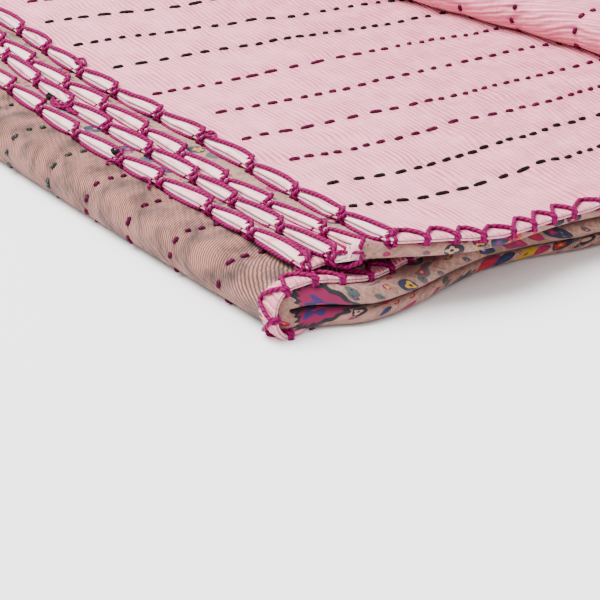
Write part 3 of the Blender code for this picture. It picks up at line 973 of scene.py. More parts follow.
@dataclass(frozen=True)
class PrintFinish:
    """Block-printed cotton: flowers on dark fields, strewn over a woven taupe ground.

    To the eye it is a busy dark print, with a larger flower where the corner folds.
    """

    cotton: CottonFinish
    motifs: tuple[Motif, ...] = ()
    fold: float = 640.9 * MM
    fold_half: float = 2.2 * MM
    fold_stretch: float = 1.3
    strewing: tuple[Strewn, ...] = (Strewn(11.0 * MM, 9.0 * MM, 2.5 * MM, 0.55, 5.0),
                                    Strewn(5.4 * MM, 4.6 * MM, 0.95 * MM, 0.45, 3.0))
    scallops: float = 18.0
    scalloped_from: float = 3.5 * MM
    heart: float = 0.22
    no_size: float = 0.001 * MM

    def motif_group(self) -> bpy.types.NodeTree:
        """Make the node group that prints one flower over what lies under it."""
        nodes, given = new_group("printed flower", "Shader", "Color", {
            "Where": "Vector", "Turn": "Float", "Size": "Float", "Petals": "Float",
            "Scallops": "Float", "Under": "Color", "Field": "Color", "Petal": "Color",
            "Heart": "Color"})
        turned = nodes.turned(given["Where"], given["Turn"])
        x, y, _ = nodes.parts(turned)
        reach = nodes.maths("DIVIDE", nodes.vectors("LENGTH", turned), given["Size"])
        angle = nodes.maths("ARCTAN2", y, x)
        lobes, scallops = (nodes.maths("COSINE", nodes.maths("MULTIPLY", angle, given[name]))
                           for name in ("Petals", "Scallops"))
        drop = nodes.maths("MULTIPLY_ADD", nodes.maths("COSINE", angle), 0.26, 0.98)
        drop = nodes.maths("MULTIPLY_ADD", scallops, 0.06, drop)
        petal = nodes.maths("MULTIPLY_ADD", lobes, 0.16, 0.56)
        colour = given["Under"]
        for edge, name in ((drop, "Field"), (petal, "Petal"), (self.heart, "Heart")):
            colour = nodes.blend(nodes.maths("LESS_THAN", reach, edge), colour, given[name])
        nodes.add("NodeGroupOutput", {0: colour})
        return nodes.tree

    def build(self) -> bpy.types.Material:
        """Make the material."""
        material, nodes, flat = self.cotton.begin()
        where = self.eased(nodes, flat)
        colour, weave = self.cotton.woven(nodes, where)
        group = self.motif_group()
        for strewn in self.strewing:
            colour = self.strew(nodes, where, colour, group, strewn)
        for motif in self.motifs:
            from_fold = motif.across - self.fold
            eased = max(-self.fold_half, min(self.fold_half, from_fold)) * self.fold_stretch
            middle = (motif.along, motif.across + eased, 0.0)
            colour = nodes.add("ShaderNodeGroup", {
                "Where": nodes.vectors("SUBTRACT", where, middle), "Turn": motif.turn,
                "Size": motif.size, "Petals": motif.petals,
                "Scallops": self.scallops if motif.size > self.scalloped_from else 0.0,
                "Under": colour, "Field": linear(motif.field), "Petal": linear(motif.petal),
                "Heart": linear(motif.heart)}, node_tree=group)
        self.cotton.close(nodes, colour, weave)
        return material

    def eased(self, nodes: Nodes, where: Socket) -> Socket:
        """Spread the places at the front fold, so that the print keeps its shape on its bend."""
        reach = self.fold_half * self.fold_stretch
        aside = nodes.ranged(nodes.parts(where)[1], self.fold - self.fold_half,
                             self.fold + self.fold_half, -reach, reach)
        return nodes.vectors("ADD", where, nodes.joined(0.0, aside))

    def strew(self, nodes: Nodes, where: Socket, colour: Socket, group: bpy.types.NodeTree,
              strewn: Strewn) -> Socket:
        """Print motifs all over the cloth, placed, turned and coloured by chance."""
        wide, tall, size, share, petals = strewn
        half = (0.5, 0.5, 0.0)
        cells = nodes.vectors("MULTIPLY", where, (1 / wide, 1 / tall, 0.0))
        cell = nodes.vectors("FLOOR", cells)
        chance, tint = (nodes.add("ShaderNodeTexWhiteNoise", {"Vector": cell}, out,
                                  noise_dimensions="2D") for out in ("Value", "Color"))
        here = nodes.vectors("SUBTRACT", cells, nodes.vectors("ADD", cell, half))
        here = nodes.vectors("MULTIPLY", here, (wide, tall, 0.0))
        room = (wide - 2 * size, tall - 2 * size, 0.0)
        aside = nodes.vectors("MULTIPLY", nodes.vectors("SUBTRACT", tint, half), room)
        shown = nodes.maths("GREATER_THAN", chance, 1 - share)
        colours = {}
        for (name, shades), pick in zip(PRINT_SHADES.items(), nodes.parts(tint, "Color")):
            colours[name] = linear(shades[0])
            for count, shade in enumerate(shades[1:], start=1):
                over = nodes.maths("GREATER_THAN", pick, count / len(shades))
                colours[name] = nodes.blend(over, colours[name], shade)
        return nodes.add("ShaderNodeGroup", {
            "Where": nodes.vectors("SUBTRACT", here, aside),
            "Turn": nodes.maths("MULTIPLY", chance, 2 * math.pi),
            "Size": nodes.maths("MULTIPLY_ADD", shown, size, self.no_size), "Petals": petals,
            "Scallops": 0.0, "Under": colour, **colours}, node_tree=group)


DYE_DARK, DYE_GREY, DYE_NAVY = "#191A20", "#404542", "#191C34"
DYE_VIOLET, DYE_BLUE, DYE_PINK = "#301E5A", "#1D2354", "#AA0549"
DYE_RED, DYE_YELLOW, DYE_MAGENTA = "#AA1005", "#A87C06", "#7A0840"
DYE_GROUND = "#A87A6E"
PRINT_SHADES = {
    "Field": (DYE_DARK, DYE_GREY, DYE_NAVY, DYE_GREY, DYE_MAGENTA),
    "Petal": (DYE_GREY, DYE_BLUE, DYE_MAGENTA, DYE_RED, DYE_YELLOW),
    "Heart": (DYE_YELLOW, DYE_PINK, DYE_GROUND),
}

# The motifs along the front fold, which show. The rest of the print is strewn by chance.
MOTIFS = (
    Motif(1283.0 * MM, 639.5 * MM, 7.6 * MM, 3.3, 5.0, DYE_DARK, DYE_MAGENTA, DYE_BLUE),
    Motif(1283.0 * MM, 639.5 * MM, 6.0 * MM, 3.3, 5.0, DYE_MAGENTA, DYE_VIOLET, DYE_PINK),
    Motif(1300.0 * MM, 638.9 * MM, 7.6 * MM, 0.4, 5.0, DYE_DARK, DYE_MAGENTA, DYE_BLUE),
    Motif(1300.0 * MM, 638.9 * MM, 6.0 * MM, 0.4, 5.0, DYE_MAGENTA, DYE_VIOLET, DYE_PINK),
    Motif(1256.3 * MM, 641.2 * MM, 2.2 * MM, 0.0, 3.0, DYE_NAVY, DYE_YELLOW, DYE_DARK),
    Motif(1251.3 * MM, 641.4 * MM, 1.2 * MM, 0.6, 2.0, DYE_GREY, DYE_GREY, DYE_DARK),
    Motif(1271.4 * MM, 641.9 * MM, 1.3 * MM, 1.1, 2.0, DYE_GREY, DYE_GREY, DYE_DARK),
    Motif(1266.2 * MM, 640.9 * MM, 1.1 * MM, 0.2, 2.0, DYE_GREY, DYE_GREY, DYE_DARK),
    Motif(1340.4 * MM, 640.1 * MM, 1.3 * MM, 0.3, 2.0, DYE_GREY, DYE_GREY, DYE_DARK),
    Motif(1350.7 * MM, 641.2 * MM, 1.3 * MM, 0.9, 2.0, DYE_GREY, DYE_DARK, DYE_DARK),
    Motif(1357.9 * MM, 640.8 * MM, 3.2 * MM, 0.5, 4.0, DYE_MAGENTA, DYE_RED, DYE_MAGENTA),
    Motif(1363.9 * MM, 640.8 * MM, 2.4 * MM, 2.0, 4.0, DYE_NAVY, DYE_BLUE, DYE_BLUE),
    Motif(1370.6 * MM, 640.9 * MM, 2.2 * MM, 1.0, 3.0, DYE_YELLOW, DYE_YELLOW, DYE_DARK),
    Motif(1374.1 * MM, 640.4 * MM, 1.8 * MM, 0.0, 4.0, DYE_MAGENTA, DYE_PINK, DYE_MAGENTA),
    Motif(1379.0 * MM, 640.1 * MM, 2.6 * MM, 0.7, 5.0, DYE_NAVY, DYE_RED, DYE_YELLOW),
    Motif(1386.3 * MM, 640.0 * MM, 2.2 * MM, 0.0, 2.0, DYE_DARK, DYE_GROUND, DYE_GROUND),
    Motif(1251.8 * MM, 647.8 * MM, 2.2 * MM, 2.4, 2.0, DYE_DARK, DYE_GREY, DYE_GROUND),
    Motif(25.8 * MM, 641.2 * MM, 2.6 * MM, 0.0, 4.0, DYE_DARK, DYE_GROUND, DYE_DARK),
    Motif(33.5 * MM, 640.4 * MM, 2.2 * MM, 0.8, 4.0, DYE_DARK, DYE_YELLOW, DYE_DARK),
    Motif(39.2 * MM, 641.1 * MM, 2.9 * MM, 0.5, 5.0, DYE_DARK, DYE_BLUE, DYE_MAGENTA),
    Motif(44.6 * MM, 641.2 * MM, 2.2 * MM, 0.5, 3.0, DYE_RED, DYE_DARK, DYE_RED),
    Motif(1216.3 * MM, 641.2 * MM, 2.2 * MM, 0.1, 4.0, DYE_MAGENTA, DYE_MAGENTA, DYE_PINK),
    Motif(1210.2 * MM, 641.8 * MM, 1.8 * MM, 0.9, 4.0, DYE_MAGENTA, DYE_RED, DYE_PINK),
    Motif(1205.2 * MM, 641.8 * MM, 1.8 * MM, 0.9, 4.0, DYE_NAVY, DYE_MAGENTA, DYE_PINK),
    Motif(61.6 * MM, 641.2 * MM, 1.8 * MM, 1.6, 2.0, DYE_DARK, DYE_DARK, DYE_DARK),
    Motif(66.4 * MM, 641.2 * MM, 2.2 * MM, 0.9, 4.0, DYE_NAVY, DYE_MAGENTA, DYE_YELLOW),
    Motif(1310.8 * MM, 640.0 * MM, 1.8 * MM, 0.4, 3.0, DYE_DARK, DYE_GROUND, DYE_DARK),
    Motif(1319.2 * MM, 640.8 * MM, 1.2 * MM, 0.4, 2.0, DYE_NAVY, DYE_BLUE, DYE_NAVY),
)


@dataclass(frozen=True)
class PlainFinish:
    """A plain woven panel, without print: ribbed brown cotton, swollen between its stitches."""

    cotton: CottonFinish
    quilting: QuiltingFinish = QuiltingFinish(ripple=0.3 * MM, trough=0.5 * MM,
                                              wrinkle=0.45 * MM, wrinkle_scale=(150.0, 120.0),
                                              swelling=1.8 * MM)

    def build(self) -> bpy.types.Material:
        """Make the material."""
        material, nodes, where = self.cotton.begin()
        colour, weave = self.cotton.woven(nodes, where)
        height = nodes.maths("ADD", weave, self.quilting.height(nodes, where))
        self.cotton.close(nodes, colour, height)
        return material


@dataclass(frozen=True)
class HemFinish:
    """The turned hem: near white, with painted shade in the narrow gap where its two folded edges
    meet.

    Patches stained by the magenta thread, about 4 mm long, keep it from looking new.
    """

    colour: str = "#EEC0C3"
    stain: str = "#D2627C"
    # Dark red of the painted shade in the gap between the folded edges.
    slit_shade: str = "#5C1420"
    stain_scale: float = 240.0
    stain_share: float = 0.6
    roughness: float = 0.92
    sheen: float = 0.25

    def build(self) -> bpy.types.Material:
        """Make the material."""
        material, nodes = new_material("turned hem")
        where = nodes.add("ShaderNodeTexCoord", out="Object")
        patches = nodes.noise(where, self.stain_scale, 4.0)
        stained = nodes.ranged(patches, 0.46, 0.68, 0.0, self.stain_share)
        colour = nodes.blend(stained, self.colour, self.stain)
        # Painted shade in the gap between the two folded edges.
        colour = nodes.blend(nodes.attribute("slit_shade"), colour, self.slit_shade)
        finish_material(nodes, colour, self.roughness, values={"Sheen Weight": self.sheen})
        return material


@dataclass(frozen=True)
class ThreadFinish:
    """Two-ply cotton thread: a soft gloss, with painted shade in the grooves where its plies wind
    round.

    Pale flecks of 0.5 mm give the eye its fibres. They are coarser than real ones, which
    would not show.
    """

    name: str
    colour: str
    shadow: str
    light: str
    lay: float = 2.9 * MM
    relief: float = 0.10 * MM
    fleck_scale: float = 2100.0
    fleck_share: float = 0.6
    roughness: float = 0.6
    gloss: float = 0.08

    def build(self) -> bpy.types.Material:
        """Make the material."""
        material, nodes = new_material(self.name)
        x, y, _ = nodes.parts(nodes.attribute("round", "Vector"))
        wound = nodes.maths("MULTIPLY", nodes.attribute("lay"), 2 * math.pi / self.lay)
        wound = nodes.maths("ADD", wound, nodes.maths("ARCTAN2", y, x))
        ply = nodes.maths("ABSOLUTE", nodes.maths("SINE", wound))
        # Painted shade in the grooves between the plies, from the shadow colour to the thread's own.
        colour = nodes.blend(nodes.ranged(ply, 0.1, 0.75), self.shadow, self.colour)
        flecks = nodes.noise(nodes.add("ShaderNodeTexCoord", out="Object"), self.fleck_scale)
        bright = nodes.ranged(flecks, 0.5, 0.75, 0.0, self.fleck_share)
        colour = nodes.blend(bright, colour, self.light)
        height = nodes.maths("MULTIPLY", ply, self.relief)
        finish_material(nodes, colour, self.roughness, height, {"Specular IOR Level": self.gloss})
        return material


PINK = CottonFinish("pink face cotton", "#EA8A9E", "#F8ACBA", "#B04E68",
                    warp=(1100.0, 160.0), weft=(160.0, 1100.0), relief=0.05 * MM, rib=0.95 * MM,
                    rib_share=0.35, shade_patches=0.35)
TAUPE = CottonFinish("plain taupe cotton", "#6A3D33", "#BA7B6C", "#180A07", turn=0.8,
                     relief=0.13 * MM, rib=0.86 * MM, rib_share=0.8, shade_patches=0.8)
PRINTED = CottonFinish("printed taupe cotton", "#82564C", "#D29E8F", "#1A0D0A", turn=0.8,
                       relief=0.06 * MM, rib=0.36 * MM, rib_share=0.4, shade_patches=0.3)


class HemLine(NamedTuple):
    """One line of the puffed hem: in from the rim, off the middle, its swelling, its shadow."""

    inset: float
    lift: float
    swell: float
    slit_shade: float


HEM_HALF = 0.62 * MM
# Each line's last number is how much painted shade of the gap between the folded edges it takes.
HEM_UPPER = (
    HemLine(5.0 * MM, 0.54 * MM, 0.0, 0.0), HemLine(3.6 * MM, 0.62 * MM, 0.35, 0.0),
    HemLine(2.3 * MM, 0.66 * MM, 0.8, 0.0), HemLine(1.0 * MM, 0.66 * MM, 1.0, 0.0),
    HemLine(0.1 * MM, 0.55 * MM, 0.95, 0.0), HemLine(-0.35 * MM, 0.32 * MM, 0.5, 0.0),
    HemLine(-0.28 * MM, 0.09 * MM, 0.1, 0.35),
)
HEM_SECTION = (*HEM_UPPER, HemLine(0.05 * MM, 0.0, 0.0, 1.0),
               *(line._replace(lift=-line.lift) for line in reversed(HEM_UPPER)))
# Strips of the section before the first number are face cotton, from the second on print.
HEM_FACE_STRIPS = 4
HEM_BACK_FROM = 12


@dataclass(frozen=True)
class Hem:
    """The turned hem's sizes."""

    half: float = HEM_HALF
    width: float = 6.0 * MM
    # Each rim line: how far out, how high, and how much painted shade it takes; full in the middle
    # of the channel.
    profile: tuple[tuple[float, float, float], ...] = (
        (0.50, 0.85, 0.0), (0.75, 0.45, 0.0), (0.25, 0.0, 1.0), (0.75, -0.45, 0.0),
        (0.50, -0.85, 0.0))


def cells_of(grid: np.ndarray) -> np.ndarray:
    """List the four corners of every cell of a grid of point numbers."""
    return np.stack([grid[:-1, :-1].ravel(), grid[1:, :-1].ravel(), grid[1:, 1:].ravel(),
                     grid[:-1, 1:].ravel()], 1)


def show(name: str, mesh: bpy.types.Mesh) -> bpy.types.Object:
    """Put a mesh into the scene as an object."""
    thing = bpy.data.objects.new(name, mesh)
    bpy.context.scene.collection.objects.link(thing)
    return thing


def store(mesh: bpy.types.Mesh, named: dict[str, np.ndarray]) -> None:
    """Write named values into a mesh, one number or one vector for each of its points."""
    for name, values in named.items():
        kind, field = ("FLOAT_VECTOR", "vector") if values.ndim == 2 else ("FLOAT", "value")
        attribute = mesh.attributes.new(name, kind, "POINT")
        attribute.data.foreach_set(field, values.astype(np.float32).ravel())


def cloth_object(name: str, points: np.ndarray, faces: np.ndarray,
                 finishes: list[bpy.types.Material], kinds: np.ndarray, uv: np.ndarray,
                 named: dict[str, np.ndarray]) -> bpy.types.Object:
    """Make one piece of cloth.

    Args:
        name: the piece's name.
        points: its points.
        faces: its faces, as point numbers.
        finishes: its materials.
        kinds: which of the materials each face has.
        uv: where each point lies on the flat cloth.
        named: the values that its materials read, by name.

    Returns:
        The finished mesh object.
    """
    mesh = bpy.data.meshes.new(name)
    mesh.from_pydata(points.tolist(), [], faces.tolist())
    for finish in finishes:
        mesh.materials.append(finish)
    mesh.polygons.foreach_set("material_index", kinds.astype(np.int32))
    corners = np.empty(len(mesh.loops), np.int32)
    mesh.loops.foreach_get("vertex_index", corners)
    layer = mesh.uv_layers.new(name="cloth")
    layer.data.foreach_set("uv", uv[corners].astype(np.float32).ravel())
    store(mesh, named)
    mesh.shade_smooth()
    return show(name, mesh)


class QuiltSheet:
    """The folded sheet itself: both of its faces and the turned hem round its rim."""

    def __init__(self, cloth: Cloth, hem: Hem) -> None:
        self.cloth = cloth
        self.hem = hem
        self.rows, self.columns = cloth.pos.shape[:2]

    def hem_share(self) -> np.ndarray:
        """Return how near each place of the grid is to the rim: 1 on it, 0 past the hem."""
        c = self.cloth
        from_long = np.minimum(c.across, c.across[-1] - c.across)[None, :]
        from_ends = np.minimum(c.along, c.along[-1][None, :] - c.along)
        away = np.minimum(np.broadcast_to(from_long, from_ends.shape), from_ends)
        share = np.clip(1 - away / self.hem.width, 0, 1)
        return share * share * (3 - 2 * share)

    def ring(self) -> list[tuple[int, int]]:
        """Walk once round the rim of the grid."""
        last_row, last_column = self.rows - 1, self.columns - 1
        places = [(i, 0) for i in range(last_row)]
        places += [(last_row, j) for j in range(last_column)]
        places += [(i, last_column) for i in range(last_row, 0, -1)]
        places += [(0, j) for j in range(last_column, 0, -1)]
        return places

    def everywhere(self, values: np.ndarray, places: np.ndarray) -> np.ndarray:
        """Give both faces and the rim the values of the grid's places."""
        flat = values.reshape(self.rows * self.columns, -1)
        return np.concatenate([flat, flat] + [flat[places]] * len(self.hem.profile))

    def build(self, finishes: list[bpy.types.Material], panel: tuple[int, int, int],
              row: np.ndarray, stitch: np.ndarray) -> bpy.types.Object:
        """Make the sheet's object.

        Args:
            finishes: the face, the print, the plain panel and the hem, in that order.
            panel: first station, last station and first column of the plain panel.
            row: which row of stitches each place lies on.
            stitch: how many stitches along its row each place lies.

        Returns:
            The finished mesh object.
        """
        c, share = self.cloth, self.hem_share()
        half = mix(c.shape.cloth / 2, self.hem.half, share)[:, :, None]
        face = (c.pos + c.nrm * half).reshape(-1, 3)
        back = (c.pos - c.nrm * half).reshape(-1, 3)
        count = len(face)
        grid = np.arange(count).reshape(self.rows, self.columns)
        cells = cells_of(grid)
        quads = [cells, cells[:, [0, 3, 2, 1]] + count]
        ring = self.ring()
        rim, rim_slit_shade = self.rim(ring)
        places = np.array([grid[i, j] for i, j in ring])
        strips = [places]
        strips += [2 * count + m * len(ring) + np.arange(len(ring))
                   for m in range(len(self.hem.profile))]
        strips += [places + count]
        for upper, lower in zip(strips, strips[1:]):
            quads.append(np.stack([upper, lower, np.roll(lower, -1), np.roll(upper, -1)], 1))
        faces = np.concatenate(quads)
        first, last, column = panel
        station, spot = np.divmod(cells[:, 0], self.columns)
        on_panel = (station >= first) & (station < last) & (spot >= column)
        kinds = np.concatenate([np.where(on_panel, 2, 0), np.full(len(cells), 1),
                                np.full(len(faces) - 2 * len(cells), 3)])
        named = {name: self.everywhere(values, places)[:, 0] for name, values
                 in (("row", row), ("stitch", stitch), ("hem", share ** 4))}
        # Painted shade along the middle of the rim; none on the two faces.
        named["slit_shade"] = np.concatenate([np.zeros(2 * count), rim_slit_shade])
        quilt = cloth_object("quilt_cloth", np.concatenate([face, back, rim]), faces, finishes,
                             kinds, self.everywhere(c.flat(), places), named)
        quilt.data.validate()
        return quilt

    def rim(self, ring: list[tuple[int, int]]) -> tuple[np.ndarray, np.ndarray]:
        """Lay the hem's rounded rim, a channel between its two folded edges, with painted shade
        along its middle.
        """
        rows = np.array([i for i, _ in ring])
        columns = np.array([j for _, j in ring])
        pos, nrm = self.cloth.pos[rows, columns], self.cloth.nrm[rows, columns]
        forward = np.roll(pos, -1, 0) - np.roll(pos, 1, 0)
        out = np.cross(forward, nrm)
        out /= np.linalg.norm(out, axis=1, keepdims=True)
        points, slit_shade = [], []
        # dark is the painted shade that each rim line takes.
        for reach, lift, dark in self.hem.profile:
            points.append(pos + (out * reach + nrm * lift) * self.hem.half)
            slit_shade.append(np.full(len(ring), dark))
        return np.concatenate(points), np.concatenate(slit_shade)


@dataclass(frozen=True)
class StitchSizes:
    """Sizes of the running stitch: long ones at the left, short ones past the crease."""

    pitch: tuple[float, float] = (5.6 * MM, 4.2 * MM)
    shorter_from: float = 62 * MM
    shorter_over: float = 20 * MM
    longest_row: float = 2.0
    drift: float = 0.7
    drift_length: float = 97 * MM
    drift_by_row: float = 2.4
    start_by_row: float = 0.37
    half_share: tuple[float, float] = (0.31, 0.25)
    half_share_at: tuple[float, float] = (60 * MM, 85 * MM)
    uneven_length: tuple[float, float] = (0.72, 1.12)
    uneven_place: float = 0.09
    aside_mm: float = 0.35
    slant_mm: float = 0.28
    lift: float = 0.60 * MM


class RowStitches:
    """Rows of running stitch: where each row runs and where each stitch of it lies."""

    def __init__(self, cloth: Cloth, sizes: StitchSizes) -> None:
        self.cloth = cloth
        self.sizes = sizes
        shape = cloth.shape
        rows, columns = cloth.pos.shape[:2]
        self.row = np.full((rows, columns), 0.5)
        top = shape.arms[2]
        for j, spot in enumerate(cloth.spots):
            if spot.fold is not Fold.FLAT or spot.layer not in (0, 3):
                continue
            for i, station in enumerate(cloth.stations):
                on_top = station.z == top
                self.row[i, j] = shape.row_number(station.x, spot.along, on_top)
        self.stitch = self.phase(cloth.along, self.row)

    def phase(self, along: np.ndarray, row: np.ndarray) -> np.ndarray:
        """Count stitches along a row: long ones first, short ones past the crease."""
        s = self.sizes
        reach = np.linspace(0.0, s.longest_row, 2001)
        eased = np.clip((reach - s.shorter_from) / s.shorter_over, 0, 1)
        pitch = mix(*s.pitch, eased)
        total = np.concatenate([[0], np.cumsum((reach[1] - reach[0]) / pitch)[:-1]])
        counted = np.interp(along, reach, total)
        swing = np.sin(2 * math.pi * along / s.drift_length + s.drift_by_row * row)
        return counted + s.drift * swing + s.start_by_row * row

    def column_width(self, column: np.ndarray) -> np.ndarray:
        """Return how wide the grid's columns are at some places."""
        return np.interp(column, np.arange(len(self.cloth.across)), np.gradient(self.cloth.across))

    def columns_of(self, layer: int) -> np.ndarray:
        """List the grid's columns that lie flat in one layer."""
        flat = [j for j, spot in enumerate(self.cloth.spots)
                if spot.fold is Fold.FLAT and spot.layer == layer]
        return np.array(flat)

    def stitches(self, layer: int, number: int, first: int,
                 last: int) -> dict[str, np.ndarray] | None:
        """Find the stitches of one row between two stations.

        Args:
            layer: which of the four layers the row is on, 0 or 3.
            number: the row's number, from the front.
            first: the first station that the row shows at.
            last: the last one.

        Returns:
            Middle, heading, upward direction and length of each stitch, or None for a row
            that falls into the back fold.
        """
        s, columns = self.sizes, self.columns_of(layer)
        stations = np.arange(first, last)
        found, inside = [], 0
        for i in stations:
            numbers = self.row[i, columns]
            order = np.argsort(numbers)
            found.append(np.interp(number, numbers[order], columns[order]))
            inside += numbers.min() <= number <= numbers.max()
        if inside < 0.9 * len(stations):
            return None
        column = np.array(found)
        along = self.cloth.between(self.cloth.along[:, :, None], stations.astype(float), column)
        phase = self.phase(along[:, 0], np.full(len(stations), float(number)))
        count = np.arange(math.ceil(phase[0]) + 1, math.floor(phase[-1]))
        chance = np.random.default_rng(SEED + 31 * number + layer)
        share = np.interp(np.interp(count, phase, along[:, 0]), s.half_share_at, s.half_share)
        share = share * chance.uniform(*s.uneven_length, len(count))
        count = count + chance.uniform(-s.uneven_place, s.uneven_place, len(count))
        drift = chance.uniform(-s.aside_mm, s.aside_mm, len(count)) * MM
        slant = chance.uniform(-s.slant_mm, s.slant_mm, len(count)) * MM
        ends = []
        for side in (-1, 0, 1):
            place = np.interp(count + 0.5 + side * share, phase, stations)
            run = np.interp(place, stations, column)
            off = (drift + side * slant) / self.column_width(run)
            ends.append(self.cloth.at(place, run + off, np.full(len(count), s.lift)))
        middle = np.interp(count + 0.5, phase, stations)
        upward = self.cloth.between(self.cloth.nrm, middle, np.interp(middle, stations, column))
        heading = ends[2] - ends[0]
        length = np.linalg.norm(heading, axis=1)
        return {"middle": ends[1], "heading": heading, "upward": upward, "length": length}


class ThreadGroups:
    """The node groups that turn points and lines into stitches and thread."""

    def __init__(self) -> None:
        self.stitches = self.stitch_group()
        self.thread = self.thread_group()

    @staticmethod
    def close(nodes: Nodes, made: Socket, finish: Socket) -> bpy.types.NodeTree:
        """End a group: real geometry with its material on it."""
        real = nodes.add("GeometryNodeRealizeInstances", {"Geometry": made})
        done = nodes.add("GeometryNodeSetMaterial", {"Geometry": real, "Material": finish})
        nodes.add("NodeGroupOutput", {0: done})
        return nodes.tree

    def stitch_group(self) -> bpy.types.NodeTree:
        """Lay one rounded stitch on every point."""
        nodes, given = new_group("running stitches", "Geometry", "Geometry", {
            "Geometry": "Geometry", "Thickness": "Float", "Material": "Material"})
        kinds = {"heading": "FLOAT_VECTOR", "upward": "FLOAT_VECTOR", "length": "FLOAT"}
        read = {name: nodes.add("GeometryNodeInputNamedAttribute", {"Name": name},
                                data_type=kind) for name, kind in kinds.items()}
        turned = nodes.add("FunctionNodeAxesToRotation",
                           {"Primary Axis": read["upward"], "Secondary Axis": read["heading"]},
                           primary_axis="Z", secondary_axis="X")
        flat = nodes.maths("MULTIPLY", given["Thickness"], STITCH_FLATNESS)
        size = nodes.joined(read["length"], given["Thickness"], flat)
        grain = nodes.add("GeometryNodeMeshUVSphere", {"Segments": 8, "Rings": 6, "Radius": 0.5})
        x, y, z = nodes.parts(nodes.add("GeometryNodeInputPosition"))
        doubled = nodes.maths("MULTIPLY", nodes.maths("ABSOLUTE", x), 2.0)
        blunt = nodes.maths("POWER", doubled, STITCH_BLUNTNESS)
        blunt = nodes.maths("MULTIPLY", nodes.maths("MULTIPLY", blunt, nodes.maths("SIGN", x)), 0.5)
        grain = nodes.add("GeometryNodeSetPosition", {"Geometry": grain,
                                                      "Position": nodes.joined(blunt, y, z)})
        grain = nodes.add("GeometryNodeSetShadeSmooth", {"Geometry": grain})
        placed = nodes.add("GeometryNodeInstanceOnPoints", {
            "Points": given["Geometry"], "Instance": grain, "Rotation": turned, "Scale": size})
        return self.close(nodes, placed, given["Material"])

    def thread_group(self) -> bpy.types.NodeTree:
        """Sweep a round thread along every line."""
        nodes, given = new_group("sewn thread", "Geometry", "Geometry", {
            "Geometry": "Geometry", "Thickness": "Float", "Sides": "Int",
            "Material": "Material"})
        line = nodes.add("GeometryNodeMeshToCurve", {"Mesh": given["Geometry"]})
        length = nodes.add("GeometryNodeSplineParameter", out="Length")
        line = nodes.add("GeometryNodeStoreNamedAttribute", {
            "Geometry": line, "Name": "lay", "Value": length}, data_type="FLOAT", domain="POINT")
        circle = nodes.add("GeometryNodeCurvePrimitiveCircle", {
            "Resolution": given["Sides"], "Radius": 1.0})
        rim = nodes.add("GeometryNodeInputPosition")
        circle = nodes.add("GeometryNodeStoreNamedAttribute", {
            "Geometry": circle, "Name": "round", "Value": rim}, data_type="FLOAT_VECTOR",
            domain="POINT")
        radius = nodes.maths("MULTIPLY", given["Thickness"], 0.5)
        sized = nodes.add("GeometryNodeTransform", {
            "Geometry": circle, "Scale": nodes.joined(radius, radius, radius)})
        tube = nodes.add("GeometryNodeCurveToMesh", {"Curve": line, "Profile Curve": sized,
                                                     "Fill Caps": True})
        tube = nodes.add("GeometryNodeSetShadeSmooth", {"Geometry": tube})
        return self.close(nodes, tube, given["Material"])


def grown(mesh: bpy.types.Mesh, group: bpy.types.NodeTree, values: dict) -> bpy.types.Object:
    """Run a node group over a mesh and keep the result as a plain mesh.

    Args:
        mesh: the points or lines that the group works on.
        group: the geometry node group.
        values: what each of its named inputs takes.

    Returns:
        An object with the finished mesh and no modifier.
    """
    thing = show(mesh.name, mesh)
    modifier = thing.modifiers.new("grow", "NODES")
    modifier.node_group = group
    sockets = {item.name: item.identifier for item in group.interface.items_tree
               if item.in_out == "INPUT"}
    for name, value in values.items():
        modifier[sockets[name]] = value
    bpy.context.view_layer.update()
    result = bpy.data.meshes.new_from_object(
        thing.evaluated_get(bpy.context.evaluated_depsgraph_get()))
    thing.modifiers.clear()
    thing.data = result
    result.name = thing.name
    return thing


def sweep(name: str, lines: list[np.ndarray], thickness: float, group: bpy.types.NodeTree,
          finish: bpy.types.Material) -> bpy.types.Object:
    """Sweep thread of one thickness along some lines, as one object."""
    points, edges = [], []
    for line in lines:
        edges += [(len(points) + k, len(points) + k + 1) for k in range(len(line) - 1)]
        points += line.tolist()
    mesh = bpy.data.meshes.new(name)
    mesh.from_pydata(points, edges, [])
    return grown(mesh, group, {"Thickness": thickness, "Sides": THREAD_SIDES,
                               "Material": finish})


@dataclass(frozen=True)
class Overcast:
    """Sizes of the overcasting along one edge, and of the hem that it draws in."""

    pitch: float = 7.9 * MM
    hole: tuple[float, float] = (0.52, 0.72)
    inset: tuple[float, float] = (4.0 * MM, 5.4 * MM)
    under_inset: float = 1.0
    thickness: float = 1.12 * MM
    stand_off: float = 0.80 * MM
    slant: float = 0.45 * MM
    bow: float = 0.12
    puff: float = 0.18 * MM
    faded: float = 0.0
    hem_step: float = 1.3 * MM


LONG_EDGE = Overcast()
SHORT_EDGE = Overcast(pitch=21.5 * MM, hole=(0.12, 0.22), inset=(2.1 * MM, 3.1 * MM),
                      under_inset=0.0, puff=0.50 * MM, stand_off=0.70 * MM, slant=1.4 * MM,
                      bow=0.55, faded=1.0, thickness=1.16 * MM)


# Each leg of a thread: how far along it a point lies, and its height over the hem as a share.
STEEP_LEG = ((0.15, 1.02), (0.45, 1.22), (0.75, 1.25), (0.95, 1.05))
LONG_LEG = ((0.05, 0.75), (0.22, 0.96), (0.42, 1.0), (0.62, 1.02), (0.80, 1.0), (0.94, 0.88))
RIM_HEIGHT = 0.55


